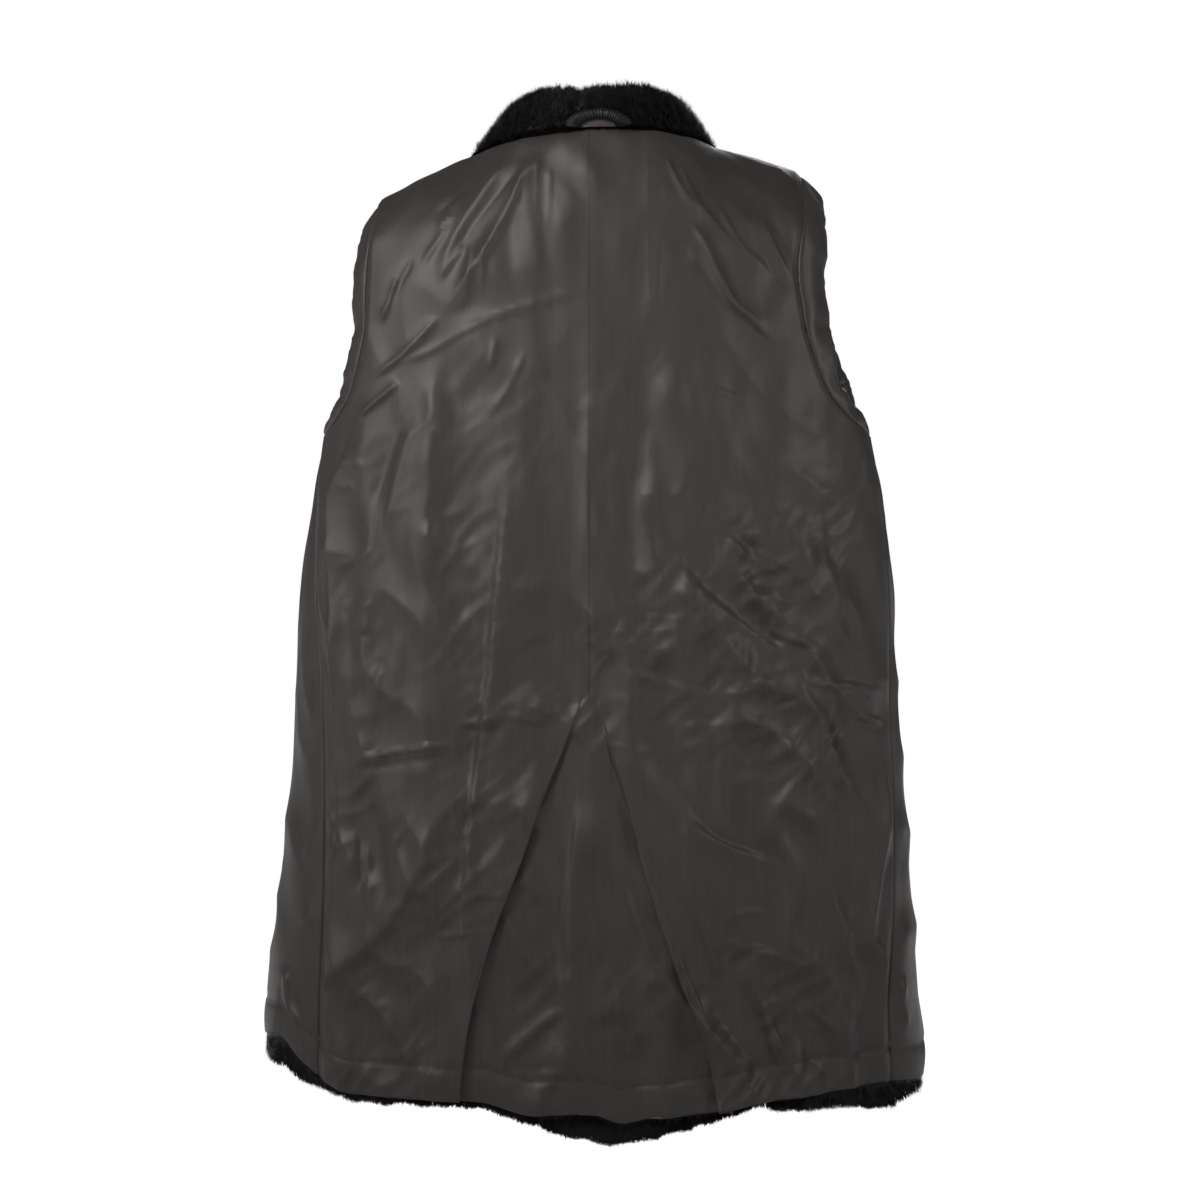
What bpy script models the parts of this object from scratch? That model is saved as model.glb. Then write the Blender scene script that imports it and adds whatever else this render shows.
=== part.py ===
"""A knee-length mink coat, turned inside out and filled out as if worn.

The satin lining faces out and the fur faces in. Both sleeves are tucked in
through their armholes. Units are metres, +Z is up, +Y is the wearer's front
and +X the wearer's right. The origin lies on the shoulders, at the side of
the neck, where the wearer holds the coat up.

Every panel is a grid of rows (shoulder to hem) and columns, worked out on
one body surface, so that neighbouring panels meet along the same seams.
"""

from collections import namedtuple
import math

import bmesh
import bpy
import numpy as np

# ---------------------------------------------------------------- sizes
NECK_HALF_WIDTH = 0.132
NECK_BACK_DEPTH = 0.088
NECK_FRONT_DEPTH = 0.100
NECK_BACK_RISE = 0.012
NECK_FRONT_DROP = 0.080
NECK_POWER = 0.6
NECK_SNAP = 0.0125
SHOULDER_TIP = {-1: 0.236, 1: 0.229}
SHOULDER_DROP = {-1: 0.047, 1: 0.031}
SHOULDER_BOW = 1.30
SHOULDER_LEAN = 0.035
# The armhole's edge lies a little further in at mid-height than at the tip.
DRAWN_IN = {-1: 0.0, 1: 0.009}
DRAWN_IN_Z = -0.140
DRAWN_IN_REACH = 0.045
DRAWN_IN_FROM_X = 0.130
DRAWN_IN_FULL_X = 0.215

CENTRE_ANGLE = 1e-5
CHEST_Z = -0.200
DOME_HEIGHT = 0.210
UNDERARM_Z = -0.314
RING_POWER = 2.4
DOME_ANGLES = (0.0, 24.0, 46.0, 68.0, 90.0)
ARMHOLE_ROWS = (-0.240, -0.275, -0.300, UNDERARM_Z)
HEM_RING_Z = -1.020
BODY_ROWS = (-0.350, -0.420, -0.500, -0.588, -0.640, -0.700, -0.735, -0.770, -0.840, -0.900, -0.960)

LINING_WALL = 0.0010
LAYER_GAP = 0.0009
FUR_WALL = 0.0110
SLEEVE_FUR_WALL = 0.0085
SEAM_GAP = 0.0003

LINING_FRONT_EDGE = 0.012
FUR_FRONT_EDGE = 0.003

# Half-widths to the left and right and half-depths to back and front.
Section = namedtuple("Section", "z left right back front")
SECTIONS = (
    Section(-1.080, 0.367, 0.369, 0.152, 0.152),
    Section(-0.938, 0.363, 0.361, 0.149, 0.150),
    Section(-0.827, 0.350, 0.353, 0.146, 0.148),
    Section(-0.716, 0.338, 0.345, 0.143, 0.146),
    Section(-0.605, 0.329, 0.335, 0.140, 0.144),
    Section(-0.494, 0.325, 0.332, 0.136, 0.142),
    Section(-0.383, 0.311, 0.320, 0.131, 0.140),
    Section(-0.314, 0.299, 0.306, 0.127, 0.137),
    Section(-0.200, 0.285, 0.290, 0.119, 0.129),
)

# Where the back ends, as a share of the half-width: the armhole down to the
# underarm, then the side seam, which lies a little to the back.
Edge = namedtuple("Edge", "z left right")
BACK_EDGE = (
    Edge(-1.080, 0.80, 0.87),
    Edge(-0.938, 0.81, 0.88),
    Edge(-0.827, 0.83, 0.92),
    Edge(-0.605, 0.89, 0.965),
    Edge(-0.420, 0.955, 0.980),
    Edge(-0.314, 1.00, 1.00),
    Edge(-0.300, 0.955, 0.936),
    Edge(-0.275, 0.91, 0.860),
    Edge(-0.240, 0.885, 0.816),
    Edge(-0.200, 0.870, 0.791),
)
FRONT_ARMHOLE = (
    Edge(-0.314, 1.00, 1.00),
    Edge(-0.300, 0.955, 0.975),
    Edge(-0.275, 0.89, 0.925),
    Edge(-0.240, 0.83, 0.865),
    Edge(-0.200, 0.790, 0.805),
)

# The lining's hem along the half-width (share of it, left negative), and how
# far the fur hangs below it.
Hem = namedtuple("Hem", "share z fur_drop")
HEM_BACK = (
    Hem(-1.00, -0.968, 0.024),
    Hem(-0.93, -0.966, 0.030),
    Hem(-0.87, -0.985, 0.022),
    Hem(-0.78, -1.008, 0.006),
    Hem(-0.69, -1.018, 0.005),
    Hem(-0.35, -1.021, 0.005),
    Hem(-0.16, -1.034, 0.008),
    Hem(-0.11, -1.033, 0.019),
    Hem(-0.02, -1.032, 0.026),
    Hem(0.03, -1.036, 0.027),
    Hem(0.08, -1.043, 0.018),
    Hem(0.15, -1.038, 0.020),
    Hem(0.36, -1.031, 0.008),
    Hem(0.46, -1.024, 0.004),
    Hem(0.60, -1.018, 0.012),
    Hem(0.74, -1.014, 0.015),
    Hem(0.86, -1.011, 0.026),
    Hem(0.95, -1.013, 0.014),
    Hem(1.00, -1.015, 0.006),
)
HEM_FRONT = (
    Hem(-1.00, -0.968, 0.024),
    Hem(-0.70, -0.998, 0.012),
    Hem(-0.35, -1.006, 0.012),
    Hem(0.00, -1.010, 0.014),
    Hem(0.35, -1.008, 0.010),
    Hem(0.70, -1.012, 0.014),
    Hem(1.00, -1.015, 0.006),
)

# The inverted pleat: x of its two folded edges, how far they stand out, and
# how far each folds back under itself.
Pleat = namedtuple("Pleat", "z left right height tuck")
PLEAT = (
    Pleat(-1.080, -0.143, 0.137, 0.0100, 0.011),
    Pleat(-0.979, -0.133, 0.120, 0.0095, 0.010),
    Pleat(-0.880, -0.112, 0.085, 0.0088, 0.008),
    Pleat(-0.770, -0.075, 0.051, 0.0084, 0.005),
    Pleat(-0.735, -0.063, 0.043, 0.0080, 0.0015),
    Pleat(-0.700, -0.050, 0.033, 0.0072, 0.000),
    Pleat(-0.640, -0.034, 0.024, 0.0035, 0.000),
    Pleat(-0.588, -0.034, 0.026, 0.0000, 0.000),
)
PLEAT_LAYER = 0.0032
PLEAT_ROUND = 0.0020
PLEAT_SPREAD = 0.045
MITRE_LIMIT = 1.2
FLAT_REACH = (2.5, 1.5, 0.5, -0.5, -1.5, -2.5)
STEP_REACH = (1.3, 0.4, 0.0, 0.0, -0.4, -1.3)
STEP_RISE = (1.0, 0.86, 0.62, 0.34, 0.10, 0.0)

# Soft folds that stand out of the lining, each from one point to another.
Fold = namedtuple("Fold", "side x1 z1 x2 z2 height width")
FOLDS = (
    Fold("back", -0.090, -0.36, -0.135, -0.86, 0.006, 0.022),
    Fold("back", -0.185, -0.28, -0.215, -0.50, 0.004, 0.018),
    Fold("back", -0.020, -0.12, -0.200, -0.22, 0.004, 0.020),
    Fold("back", 0.075, -0.08, 0.165, -0.22, 0.007, 0.018),
    Fold("back", 0.150, -0.50, 0.290, -0.60, 0.005, 0.020),
    Fold("back", 0.100, -0.70, 0.215, -0.80, 0.005, 0.018),
    Fold("back", 0.190, -0.84, 0.250, -1.02, 0.005, 0.022),
    Fold("back", -0.255, -0.64, -0.260, -0.98, 0.004, 0.020),
    Fold("back", -0.030, -0.88, -0.062, -1.03, 0.005, 0.018),
    Fold("front", -0.090, -0.12, -0.150, -0.80, 0.006, 0.024),
    Fold("front", -0.200, -0.45, -0.240, -1.00, 0.006, 0.024),
    Fold("front", 0.080, -0.18, 0.120, -0.90, 0.006, 0.024),
    Fold("front", 0.220, -0.34, 0.250, -0.98, 0.006, 0.024),
)
FOLD_SEAM_FADE = 0.12
FOLD_EDGE_STEP = 0.5

# Sleeves: how wide the cap strip is, by place round the armhole from 0 at the
# shoulder to 1 at the underarm, behind and in front, and the tube that hangs
# inside. Lengths of the tube's oval are across (X) and from back to front (Y).
Strip = namedtuple("Strip", "place left right left_front right_front")
STRIP = (
    Strip(0.00, 0.020, 0.026, 0.020, 0.026),
    Strip(0.20, 0.022, 0.034, 0.024, 0.033),
    Strip(0.40, 0.016, 0.036, 0.026, 0.036),
    Strip(0.50, 0.013, 0.033, 0.030, 0.037),
    Strip(0.56, 0.012, 0.028, 0.032, 0.037),
    Strip(0.63, 0.012, 0.022, 0.032, 0.036),
    Strip(0.70, 0.011, 0.016, 0.030, 0.033),
    Strip(0.80, 0.010, 0.013, 0.024, 0.026),
    Strip(0.90, 0.008, 0.010, 0.014, 0.014),
    Strip(1.00, 0.006, 0.007, 0.006, 0.007),
)
STRIP_CURVE = 0.090
RIM_RADIUS = 0.0140
RIM_TURN_TOP = 130.0
RIM_TURN_BOTTOM = 180.0
RIM_STEPS = 4
TUBE_OUTER_X = 0.262
TUBE_PULL_IN = 0.55
TUBE_PULL_DOWN = 0.80
TUBE_SHARES = (0.35, 0.70)
ARMHOLE_REACH = 0.06

Tube = namedtuple("Tube", "z half_x half_y")
SLEEVE_TUBE = (
    Tube(-0.385, 0.0700, 0.054),
    Tube(-0.540, 0.0640, 0.049),
    Tube(-0.700, 0.0580, 0.044),
)
FUR_CUFF_DROP = 0.004

# The collar, by angle round the neck from the centre back.
Collar = namedtuple("Collar", "angle height lean thick")
COLLAR = (
    Collar(-176.0, 0.038, 0.006, 0.020),
    Collar(-140.0, 0.046, 0.016, 0.024),
    Collar(-90.0, 0.060, 0.042, 0.026),
    Collar(-45.0, 0.050, 0.026, 0.026),
    Collar(0.0, 0.046, 0.010, 0.026),
    Collar(45.0, 0.050, 0.024, 0.026),
    Collar(90.0, 0.057, 0.036, 0.026),
    Collar(140.0, 0.046, 0.016, 0.024),
    Collar(176.0, 0.038, 0.006, 0.020),
)
NECK_REACH = 0.9999
COLLAR_OUTSET = 0.007
COLLAR_LIFT = 0.0006
COLLAR_STATIONS = 24
COLLAR_SIDES = 10
COLLAR_POWER = 3.0

LOOP_HALF_WIDTH = 0.033
LOOP_HEIGHT = 0.0145
LOOP_FOOT = 0.0045
LOOP_RADIUS = 0.0048
LOOP_STATIONS = 13
LOOP_SIDES = 8
LOOP_CENTRE_X = 0.004

COLOURS = {
    "lining": (0.072, 0.064, 0.062),
    "fur": (0.0045, 0.0042, 0.0045),
}
ROUGHNESS = {"lining": 0.45, "fur": 0.85}


# ---------------------------------------------------------------- tables
def read(table, column, at, key="z"):
    """Value of a table's column at a place between its rows."""
    rows = sorted(table, key=lambda row: getattr(row, key))
    places = [getattr(row, key) for row in rows]
    values = [getattr(row, column) for row in rows]
    return float(np.interp(at, places, values))


def side_name(side):
    return "left" if side < 0 else "right"


def unit(vector):
    return vector / max(np.linalg.norm(vector), 1e-12)


def hermite(start, leaving, end, arriving, t):
    """Point of a smooth path between two points with the given headings."""
    return ((2 * t**3 - 3 * t**2 + 1) * start + (t**3 - 2 * t**2 + t) * leaving
            + (3 * t**2 - 2 * t**3) * end + (t**3 - t**2) * arriving)


# ---------------------------------------------------------------- the body surface
def ring_point(z, angle, facing):
    """Point and outward normal of the body at height z.

    The angle runs from 0 at the centre back (or centre front) to 90 degrees
    at the side and past it; facing is -1 for the back, +1 for the front.
    """
    side = -1 if angle < 0 else 1
    across = abs(math.sin(angle)) ** (2 / RING_POWER)
    turn = math.cos(angle)
    along = math.copysign(abs(turn) ** (2 / RING_POWER), turn)
    half_width = read(SECTIONS, side_name(side), z)
    towards = facing if turn >= 0 else -facing
    half_depth = read(SECTIONS, "back" if towards < 0 else "front", z)
    point = np.array((side * half_width * across, facing * half_depth * along, z))
    slope_x = side * across ** (RING_POWER - 1) / half_width
    slope_y = facing * math.copysign(abs(along) ** (RING_POWER - 1), along) / half_depth
    return point, unit(np.array((slope_x, slope_y, 0.0)))


def top_point(x, facing):
    """Point of the top edge: the neckline, then the shoulder seam."""
    side = -1 if x < 0 else 1
    share = abs(x) / NECK_HALF_WIDTH
    lean = SHOULDER_LEAN * x
    if share >= 1:
        tip = SHOULDER_TIP[side]
        down = (abs(x) - NECK_HALF_WIDTH) / (tip - NECK_HALF_WIDTH)
        drop = SHOULDER_DROP[side] * down**SHOULDER_BOW
        return np.array((x, 0.0, lean - drop))
    depth = NECK_BACK_DEPTH if facing < 0 else NECK_FRONT_DEPTH
    rise = NECK_BACK_RISE if facing < 0 else -NECK_FRONT_DROP
    inset = 1 - share * share
    return np.array((x, facing * depth * inset**NECK_POWER, lean + rise * inset))


def dome_point(turn_degrees, angle, chest_share, facing):
    """Point of the shoulder dome, from the top edge down to the chest ring."""
    ring, _ = ring_point(CHEST_Z, angle, facing)
    side = -1 if angle < 0 else 1
    half_width = read(SECTIONS, side_name(side), CHEST_Z)
    top_x = SHOULDER_TIP[side] * ring[0] / (half_width * chest_share)
    if abs(abs(top_x) - NECK_HALF_WIDTH) < NECK_SNAP:
        top_x = side * NECK_HALF_WIDTH
    top = top_point(top_x, facing)
    turn = math.radians(turn_degrees)
    flat = top[:2] + (ring[:2] - top[:2]) * math.sin(turn)
    height = top[2] + (CHEST_Z - top[2]) * (1 - math.cos(turn))
    return np.array((flat[0], flat[1], height))


def dome_normal(point):
    """Outward normal of the shoulders, as on a rounded block above the chest."""
    x, y, z = point
    half_width = read(SECTIONS, "left" if x < 0 else "right", CHEST_Z)
    half_depth = read(SECTIONS, "back" if y < 0 else "front", CHEST_Z)
    power = RING_POWER - 1
    slope_x = math.copysign((abs(x) / half_width) ** power, x) / half_width
    slope_y = math.copysign((abs(y) / half_depth) ** power, y) / half_depth
    slope_z = (max(z - CHEST_Z, 0.0) / DOME_HEIGHT) ** power / DOME_HEIGHT
    return unit(np.array((slope_x, slope_y, slope_z)))


def edge_share(z, side, facing):
    """Where a panel ends, as a share of the half-width at height z."""
    table = BACK_EDGE if facing < 0 or z < UNDERARM_Z else FRONT_ARMHOLE
    return read(table, side_name(side), z)


def share_to_angle(share):
    return math.asin(min(share, 1.0) ** (RING_POWER / 2))


def edge_angle(z, side, facing):
    """Angle of a panel's outer edge; a front reaches round to the side seam."""
    angle = share_to_angle(edge_share(z, side, facing))
    if facing > 0 and z < UNDERARM_Z:
        angle = math.pi - angle
    return angle


def hem_height(x, facing, fur):
    side = -1 if x < 0 else 1
    share = x / read(SECTIONS, side_name(side), -1.0)
    table = HEM_BACK if facing < 0 else HEM_FRONT
    height = read(table, "z", share, "share")
    if fur:
        height -= read(table, "fur_drop", share, "share")
    return height


def row_labels():
    """Rows from the top edge to the hem: the dome's angles, then heights."""
    rows = [("dome", angle) for angle in DOME_ANGLES]
    rows += [("ring", z) for z in ARMHOLE_ROWS + BODY_ROWS]
    rows.append(("hem", None))
    return rows


ARMHOLE_COUNT = len(DOME_ANGLES) + len(ARMHOLE_ROWS)


def drawn_in(point, side):
    """The point, moved towards the middle where the armhole's edge lies further in."""
    reach = (abs(point[0]) - DRAWN_IN_FROM_X) / (DRAWN_IN_FULL_X - DRAWN_IN_FROM_X)
    reach = min(max(reach, 0.0), 1.0)
    near = math.exp(-(((point[2] - DRAWN_IN_Z) / DRAWN_IN_REACH) ** 2))
    inward = DRAWN_IN[side] * near * reach * reach * (3 - 2 * reach)
    return point - np.array((side * inward, 0.0, 0.0))


def surface_point(row, share, side, facing, fur=False):
    """Point and normal on the body, share 0 at the centre and 1 at the edge."""
    kind, value = row
    if kind == "dome":
        chest_share = edge_share(CHEST_Z, side, facing)
        angle = side * share * share_to_angle(chest_share)
        if abs(angle) < CENTRE_ANGLE:
            angle = side * CENTRE_ANGLE
        point = dome_point(value, angle, chest_share, facing)
        return drawn_in(point, side), dome_normal(point)
    z = value
    if kind == "hem":
        z = HEM_RING_Z
        point, _ = ring_point(z, side * share * edge_angle(z, side, facing), facing)
        z = hem_height(point[0], facing if point[1] * facing >= 0 else -facing, fur)
    angle = side * max(share, CENTRE_ANGLE) * edge_angle(z, side, facing)
    point, normal = ring_point(z, angle, facing)
    return drawn_in(point, side), normal


def fold_height(point, facing):
    """How far the lining stands out at a point, from the folds near it."""
    name = "back" if facing < 0 else "front"
    total = 0.0
    for fold in FOLDS:
        if fold.side != name:
            continue
        start = np.array((fold.x1, fold.z1))
        run = np.array((fold.x2, fold.z2)) - start
        here = np.array((point[0], point[2])) - start
        along = min(max(np.dot(here, run) / np.dot(run, run), 0.0), 1.0)
        away = np.linalg.norm(here - run * along)
        total += fold.height * math.exp(-((away / fold.width) ** 2))
    return total


# ---------------------------------------------------------------- closed walls
def clear_scene():
    for thing in list(bpy.data.objects):
        bpy.data.objects.remove(thing, do_unlink=True)


def material(kind, name):
    """A Principled material of one kind of cloth, named for its piece."""
    made = bpy.data.materials.new(f"{kind} {name}")
    made.use_nodes = True
    shader = made.node_tree.nodes["Principled BSDF"]
    shader.inputs["Base Color"].default_value = (*COLOURS[kind], 1.0)
    shader.inputs["Roughness"].default_value = ROUGHNESS[kind]
    made.diffuse_color = (*COLOURS[kind], 1.0)
    return made


def add_object(name, kind, points, faces):
    """A named object with its faces turned to point out."""
    mesh = bpy.data.meshes.new(name)
    mesh.from_pydata([tuple(point) for point in points], [], faces)
    shape = bmesh.new()
    shape.from_mesh(mesh)
    bmesh.ops.recalc_face_normals(shape, faces=shape.faces)
    shape.to_mesh(mesh)
    shape.free()
    mesh.shade_smooth()
    mesh.set_sharp_from_angle(angle=math.radians(40))
    made = bpy.data.objects.new(name, mesh)
    bpy.context.scene.collection.objects.link(made)
    mesh.materials.append(material(kind, name))
    return made


def wall(name, kind, outer, inner, ring=False):
    """A closed wall between two grids of points, open or joined into a ring."""
    outer = np.asarray(outer)
    inner = np.asarray(inner)
    rows, columns = outer.shape[:2]
    points = list(outer.reshape(-1, 3)) + list(inner.reshape(-1, 3))
    offset = rows * columns

    def number(row, column, layer):
        return layer * offset + row * columns + column % columns

    def split(a, b, c, d):
        return [(a, b, c), (a, c, d)]

    faces = []
    spans = columns if ring else columns - 1
    for row in range(rows - 1):
        for column in range(spans):
            for layer in (0, 1):
                faces += split(
                    number(row, column, layer),
                    number(row, column + 1, layer),
                    number(row + 1, column + 1, layer),
                    number(row + 1, column, layer),
                )
    for row in (0, rows - 1):
        for column in range(spans):
            faces += split(
                number(row, column, 0),
                number(row, column, 1),
                number(row, column + 1, 1),
                number(row, column + 1, 0),
            )
    if not ring:
        for column in (0, columns - 1):
            for row in range(rows - 1):
                faces += split(
                    number(row, column, 0),
                    number(row + 1, column, 0),
                    number(row + 1, column, 1),
                    number(row, column, 1),
                )
    return add_object(name, kind, points, faces)


def tube(name, kind, stations):
    """A closed tube through rings of points, with flat capped ends."""
    stations = np.asarray(stations)
    count, sides = stations.shape[:2]
    points = list(stations.reshape(-1, 3))
    faces = []
    for station in range(count - 1):
        for side in range(sides):
            after = (side + 1) % sides
            faces.append((station * sides + side, station * sides + after,
                          (station + 1) * sides + after, (station + 1) * sides + side))
    faces.append(tuple(range(sides)))
    faces.append(tuple((count - 1) * sides + side for side in range(sides)))
    return add_object(name, kind, points, faces)


def trim_edges(grid):
    """Draws a grid's outer rows and columns in, so that seams stay clear."""
    trimmed = np.array(grid)
    for edge, beside in ((0, 1), (-1, -2)):
        inward = trimmed[:, beside] - trimmed[:, edge]
        trimmed[:, edge] += SEAM_GAP * inward / np.linalg.norm(inward, axis=1)[:, None]
    inward = trimmed[1] - trimmed[0]
    trimmed[0] += SEAM_GAP * inward / np.linalg.norm(inward, axis=1)[:, None]
    return trimmed


# ---------------------------------------------------------------- back
OUTER_COLUMNS = 8
MIDDLE_COLUMNS = 7


def pleat_share(row, side):
    """Where the pleat's folded edge lies in a row, as a share of the panel."""
    kind, value = row
    if kind == "dome":
        z = CHEST_Z
    elif kind == "hem":
        z = HEM_RING_Z
    else:
        z = value
    x = abs(read(PLEAT, side_name(side), z))
    half_width = read(SECTIONS, side_name(side), z)
    return share_to_angle(x / half_width) / edge_angle(z, side, -1)


def back_columns(row):
    """Signed shares of the back's plain columns, from left to right."""
    left = pleat_share(row, -1)
    right = pleat_share(row, 1)
    steps = np.linspace(1, 0, OUTER_COLUMNS + 1)
    outer_left = [-(left + (1 - left) * step) for step in steps]
    outer_right = [right + (1 - right) * step for step in steps[::-1]]
    middle = list(np.linspace(-left, right, MIDDLE_COLUMNS + 2)[1:-1])
    return outer_left, middle, outer_right


def back_point(row, share, fur=False):
    side = -1 if share < 0 else 1
    return surface_point(row, abs(share), side, -1, fur)


def pleat_fold(row, side):
    """Section through one folded edge: (step along X, height) of each point.

    The lining comes in from the outside, turns under itself at the edge,
    runs back by the tuck and turns again to lie on the fur.
    """
    kind, value = row
    z = {"dome": 0.0, "ring": value, "hem": HEM_RING_Z}[kind]
    height = read(PLEAT, "height", z)
    tuck = read(PLEAT, "tuck", z)
    if tuck <= 0:
        steep = min(height / (2 * PLEAT_LAYER), 1.0)
        reaches = np.array(FLAT_REACH) * (1 - steep) + np.array(STEP_REACH) * steep
        return [(side * PLEAT_ROUND * reach, height * rise) for reach, rise in zip(reaches, STEP_RISE)]
    return [
        (side * PLEAT_ROUND, height),
        (0.0, height - PLEAT_LAYER / 2),
        (side * PLEAT_ROUND, height - PLEAT_LAYER),
        (side * (tuck + PLEAT_ROUND), height - PLEAT_LAYER),
        (side * (tuck + 2 * PLEAT_ROUND), (height - PLEAT_LAYER) / 2),
        (side * (tuck + PLEAT_ROUND), 0.0),
    ]


def back_lining_row(row):
    """Points, normals, heights and free directions along one row of the back."""
    outer_left, middle, outer_right = back_columns(row)
    entries = []

    def plain(share, side):
        point, normal = back_point(row, share)
        fade = min(1.0, (1 - abs(share)) / FOLD_SEAM_FADE)
        height = fold_height(point, -1) * fade
        if side and row[0] != "dome":
            edge_point, _ = back_point(row, side * pleat_share(row, side))
            away = abs(point[0] - edge_point[0])
            z = point[2]
            height = max(height, read(PLEAT, "height", z) * math.exp(-((away / PLEAT_SPREAD) ** 2)))
        entries.append((point, normal, height))

    def folded(side):
        share = side * pleat_share(row, side)
        point, normal = back_point(row, share)
        section = pleat_fold(row, side)
        if side > 0:
            section = section[::-1]
        sideways = unit(np.array((-normal[1], normal[0], 0.0)))
        soft = fold_height(point, -1)
        for step, height in section:
            entries.append((point + sideways * step, normal, height + soft))

    for share in outer_left[:-1]:
        plain(share, -1)
    folded(-1)
    for share in middle:
        plain(share, 0)
    folded(1)
    for share in outer_right[1:]:
        plain(share, 1)
    return entries


def wall_section(entries):
    """Outer and inner points of a row, square to the path of the cloth."""
    middle = [point + normal * (height - LINING_WALL / 2) for point, normal, height in entries]
    outer = []
    inner = []
    last = len(entries) - 1
    for index, (_, normal, _) in enumerate(entries):
        here = middle[index]
        sideways = unit(np.cross(normal, (0.0, 0.0, 1.0)))
        if sideways[0] < 0:
            sideways = -sideways
        steps = []
        if index > 0:
            steps.append(here - middle[index - 1])
        if index < last:
            steps.append(middle[index + 1] - here)
        flat = [unit(np.array((np.dot(step, sideways), np.dot(step, normal)))) for step in steps]
        mean = unit(sum(flat))
        reach = min(1 / max(np.dot(mean, flat[-1]), 0.1), MITRE_LIMIT)
        square = normal * mean[0] - sideways * mean[1]
        outer.append(here + square * reach * LINING_WALL / 2)
        inner.append(here - square * reach * LINING_WALL / 2)
    return outer, inner


def build_back():
    outer = []
    inner = []
    for row in row_labels():
        entries = back_lining_row(row)
        if row[0] == "dome":
            outer.append([point + normal * height for point, normal, height in entries])
            inner.append([point + normal * (height - LINING_WALL) for point, normal, height in entries])
        else:
            row_outer, row_inner = wall_section(entries)
            outer.append(row_outer)
            inner.append(row_inner)
    wall("lining_back", "lining", trim_edges(outer), trim_edges(inner))

    outer = []
    inner = []
    depth = LINING_WALL + LAYER_GAP
    for row in row_labels():
        outer_left, middle, outer_right = back_columns(row)
        pairs = [back_point(row, share, fur=True) for share in outer_left + middle + outer_right]
        outer.append([point - normal * depth for point, normal in pairs])
        inner.append([point - normal * (depth + FUR_WALL) for point, normal in pairs])
    wall("fur_back", "fur", trim_edges(outer), trim_edges(inner))


# ---------------------------------------------------------------- fronts
FRONT_COLUMNS = 10


def front_row(row, side, start_x, fur):
    """Points and normals of a front's row, from the opening to its edge."""
    kind, value = row
    z = CHEST_Z if kind == "dome" else value
    if kind == "hem":
        z = HEM_RING_Z
    half_width = read(SECTIONS, side_name(side), z)
    start = share_to_angle(start_x / half_width) / edge_angle(z, side, 1)
    shares = [start + (1 - start) * step for step in np.linspace(0, 1, FRONT_COLUMNS)]
    return [surface_point(row, share, side, 1, fur) for share in shares]


def build_front(side):
    name = side_name(side)
    outer = []
    inner = []
    for row in row_labels():
        pairs = front_row(row, side, LINING_FRONT_EDGE, False)
        outer_row = []
        inner_row = []
        for index, (point, normal) in enumerate(pairs):
            from_edge = min(index, len(pairs) - 1 - index)
            fade = min(1.0, from_edge * FOLD_EDGE_STEP)
            height = fold_height(point, 1) * fade if point[1] > 0 else 0.0
            outer_row.append(point + normal * height)
            inner_row.append(point + normal * (height - LINING_WALL))
        outer.append(outer_row)
        inner.append(inner_row)
    wall(f"lining_front_{name}", "lining", trim_edges(outer), trim_edges(inner))

    outer = []
    inner = []
    depth = LINING_WALL + LAYER_GAP
    for row in row_labels():
        pairs = front_row(row, side, LINING_FRONT_EDGE, True)
        edge_point, edge_normal = front_row(row, side, FUR_FRONT_EDGE, True)[0]
        pairs = [(edge_point, edge_normal)] + pairs
        outer.append([point - normal * depth for point, normal in pairs])
        inner.append([point - normal * (depth + FUR_WALL) for point, normal in pairs])
    wall(f"fur_front_{name}", "fur", trim_edges(outer), trim_edges(inner))


# ---------------------------------------------------------------- sleeves
def armhole_loop(side):
    """Seam points and normals round an armhole, from the shoulder tip."""
    rows = row_labels()[:ARMHOLE_COUNT]
    back = [surface_point(row, 1.0, side, -1) for row in rows]
    front = [surface_point(row, 1.0, side, 1) for row in rows]
    places = [index / (ARMHOLE_COUNT - 1) for index in range(ARMHOLE_COUNT)]
    loop = list(zip(back, places)) + list(zip(front[-2:0:-1], places[-2:0:-1]))
    points = np.array([entry[0][0] for entry in loop])
    normals = np.array([entry[0][1] for entry in loop])
    return points, normals, [entry[1] for entry in loop]


def strip_width(side, place, facing):
    column = side_name(side) + ("" if facing < 0 else "_front")
    return read(STRIP, column, place, "place")


def sleeve_paths(side):
    """For each seam point, the sleeve lining's face from the seam to the cuff."""
    points, normals, places = armhole_loop(side)
    count = len(points)
    beyond = points.mean(axis=0) + np.array((side * ARMHOLE_REACH, 0.0, 0.0))
    strips = []
    for index in range(count):
        normal = unit(normals[index])
        tangent = unit(points[(index + 1) % count] - points[index - 1])
        outward = unit(np.cross(normal, tangent))
        if np.dot(outward, beyond - points[index]) < 0:
            outward = -outward
        width = strip_width(side, places[index], -1 if index < ARMHOLE_COUNT else 1)
        path = []
        turned = []
        for share in (0.0, 0.5, 1.0):
            bend = share * width / STRIP_CURVE
            start = points[index] + outward * SEAM_GAP
            reach = outward * math.sin(bend) - normal * (1 - math.cos(bend))
            path.append(start + reach * STRIP_CURVE)
            turned.append(normal * math.cos(bend) + outward * math.sin(bend))
        rim_normal = turned[-1]
        rim_out = outward * math.cos(width / STRIP_CURVE) - normal * math.sin(width / STRIP_CURVE)
        hub = path[-1] - rim_normal * RIM_RADIUS
        turn = math.radians(RIM_TURN_TOP + (RIM_TURN_BOTTOM - RIM_TURN_TOP) * places[index])
        for step in range(1, RIM_STEPS + 1):
            angle = turn * step / RIM_STEPS
            radial = rim_normal * math.cos(angle) + rim_out * math.sin(angle)
            path.append(hub + radial * RIM_RADIUS)
            turned.append(radial)
        heading = -rim_normal * math.sin(turn) + rim_out * math.cos(turn)
        strips.append((path, turned, unit(heading)))
    return strips


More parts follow.
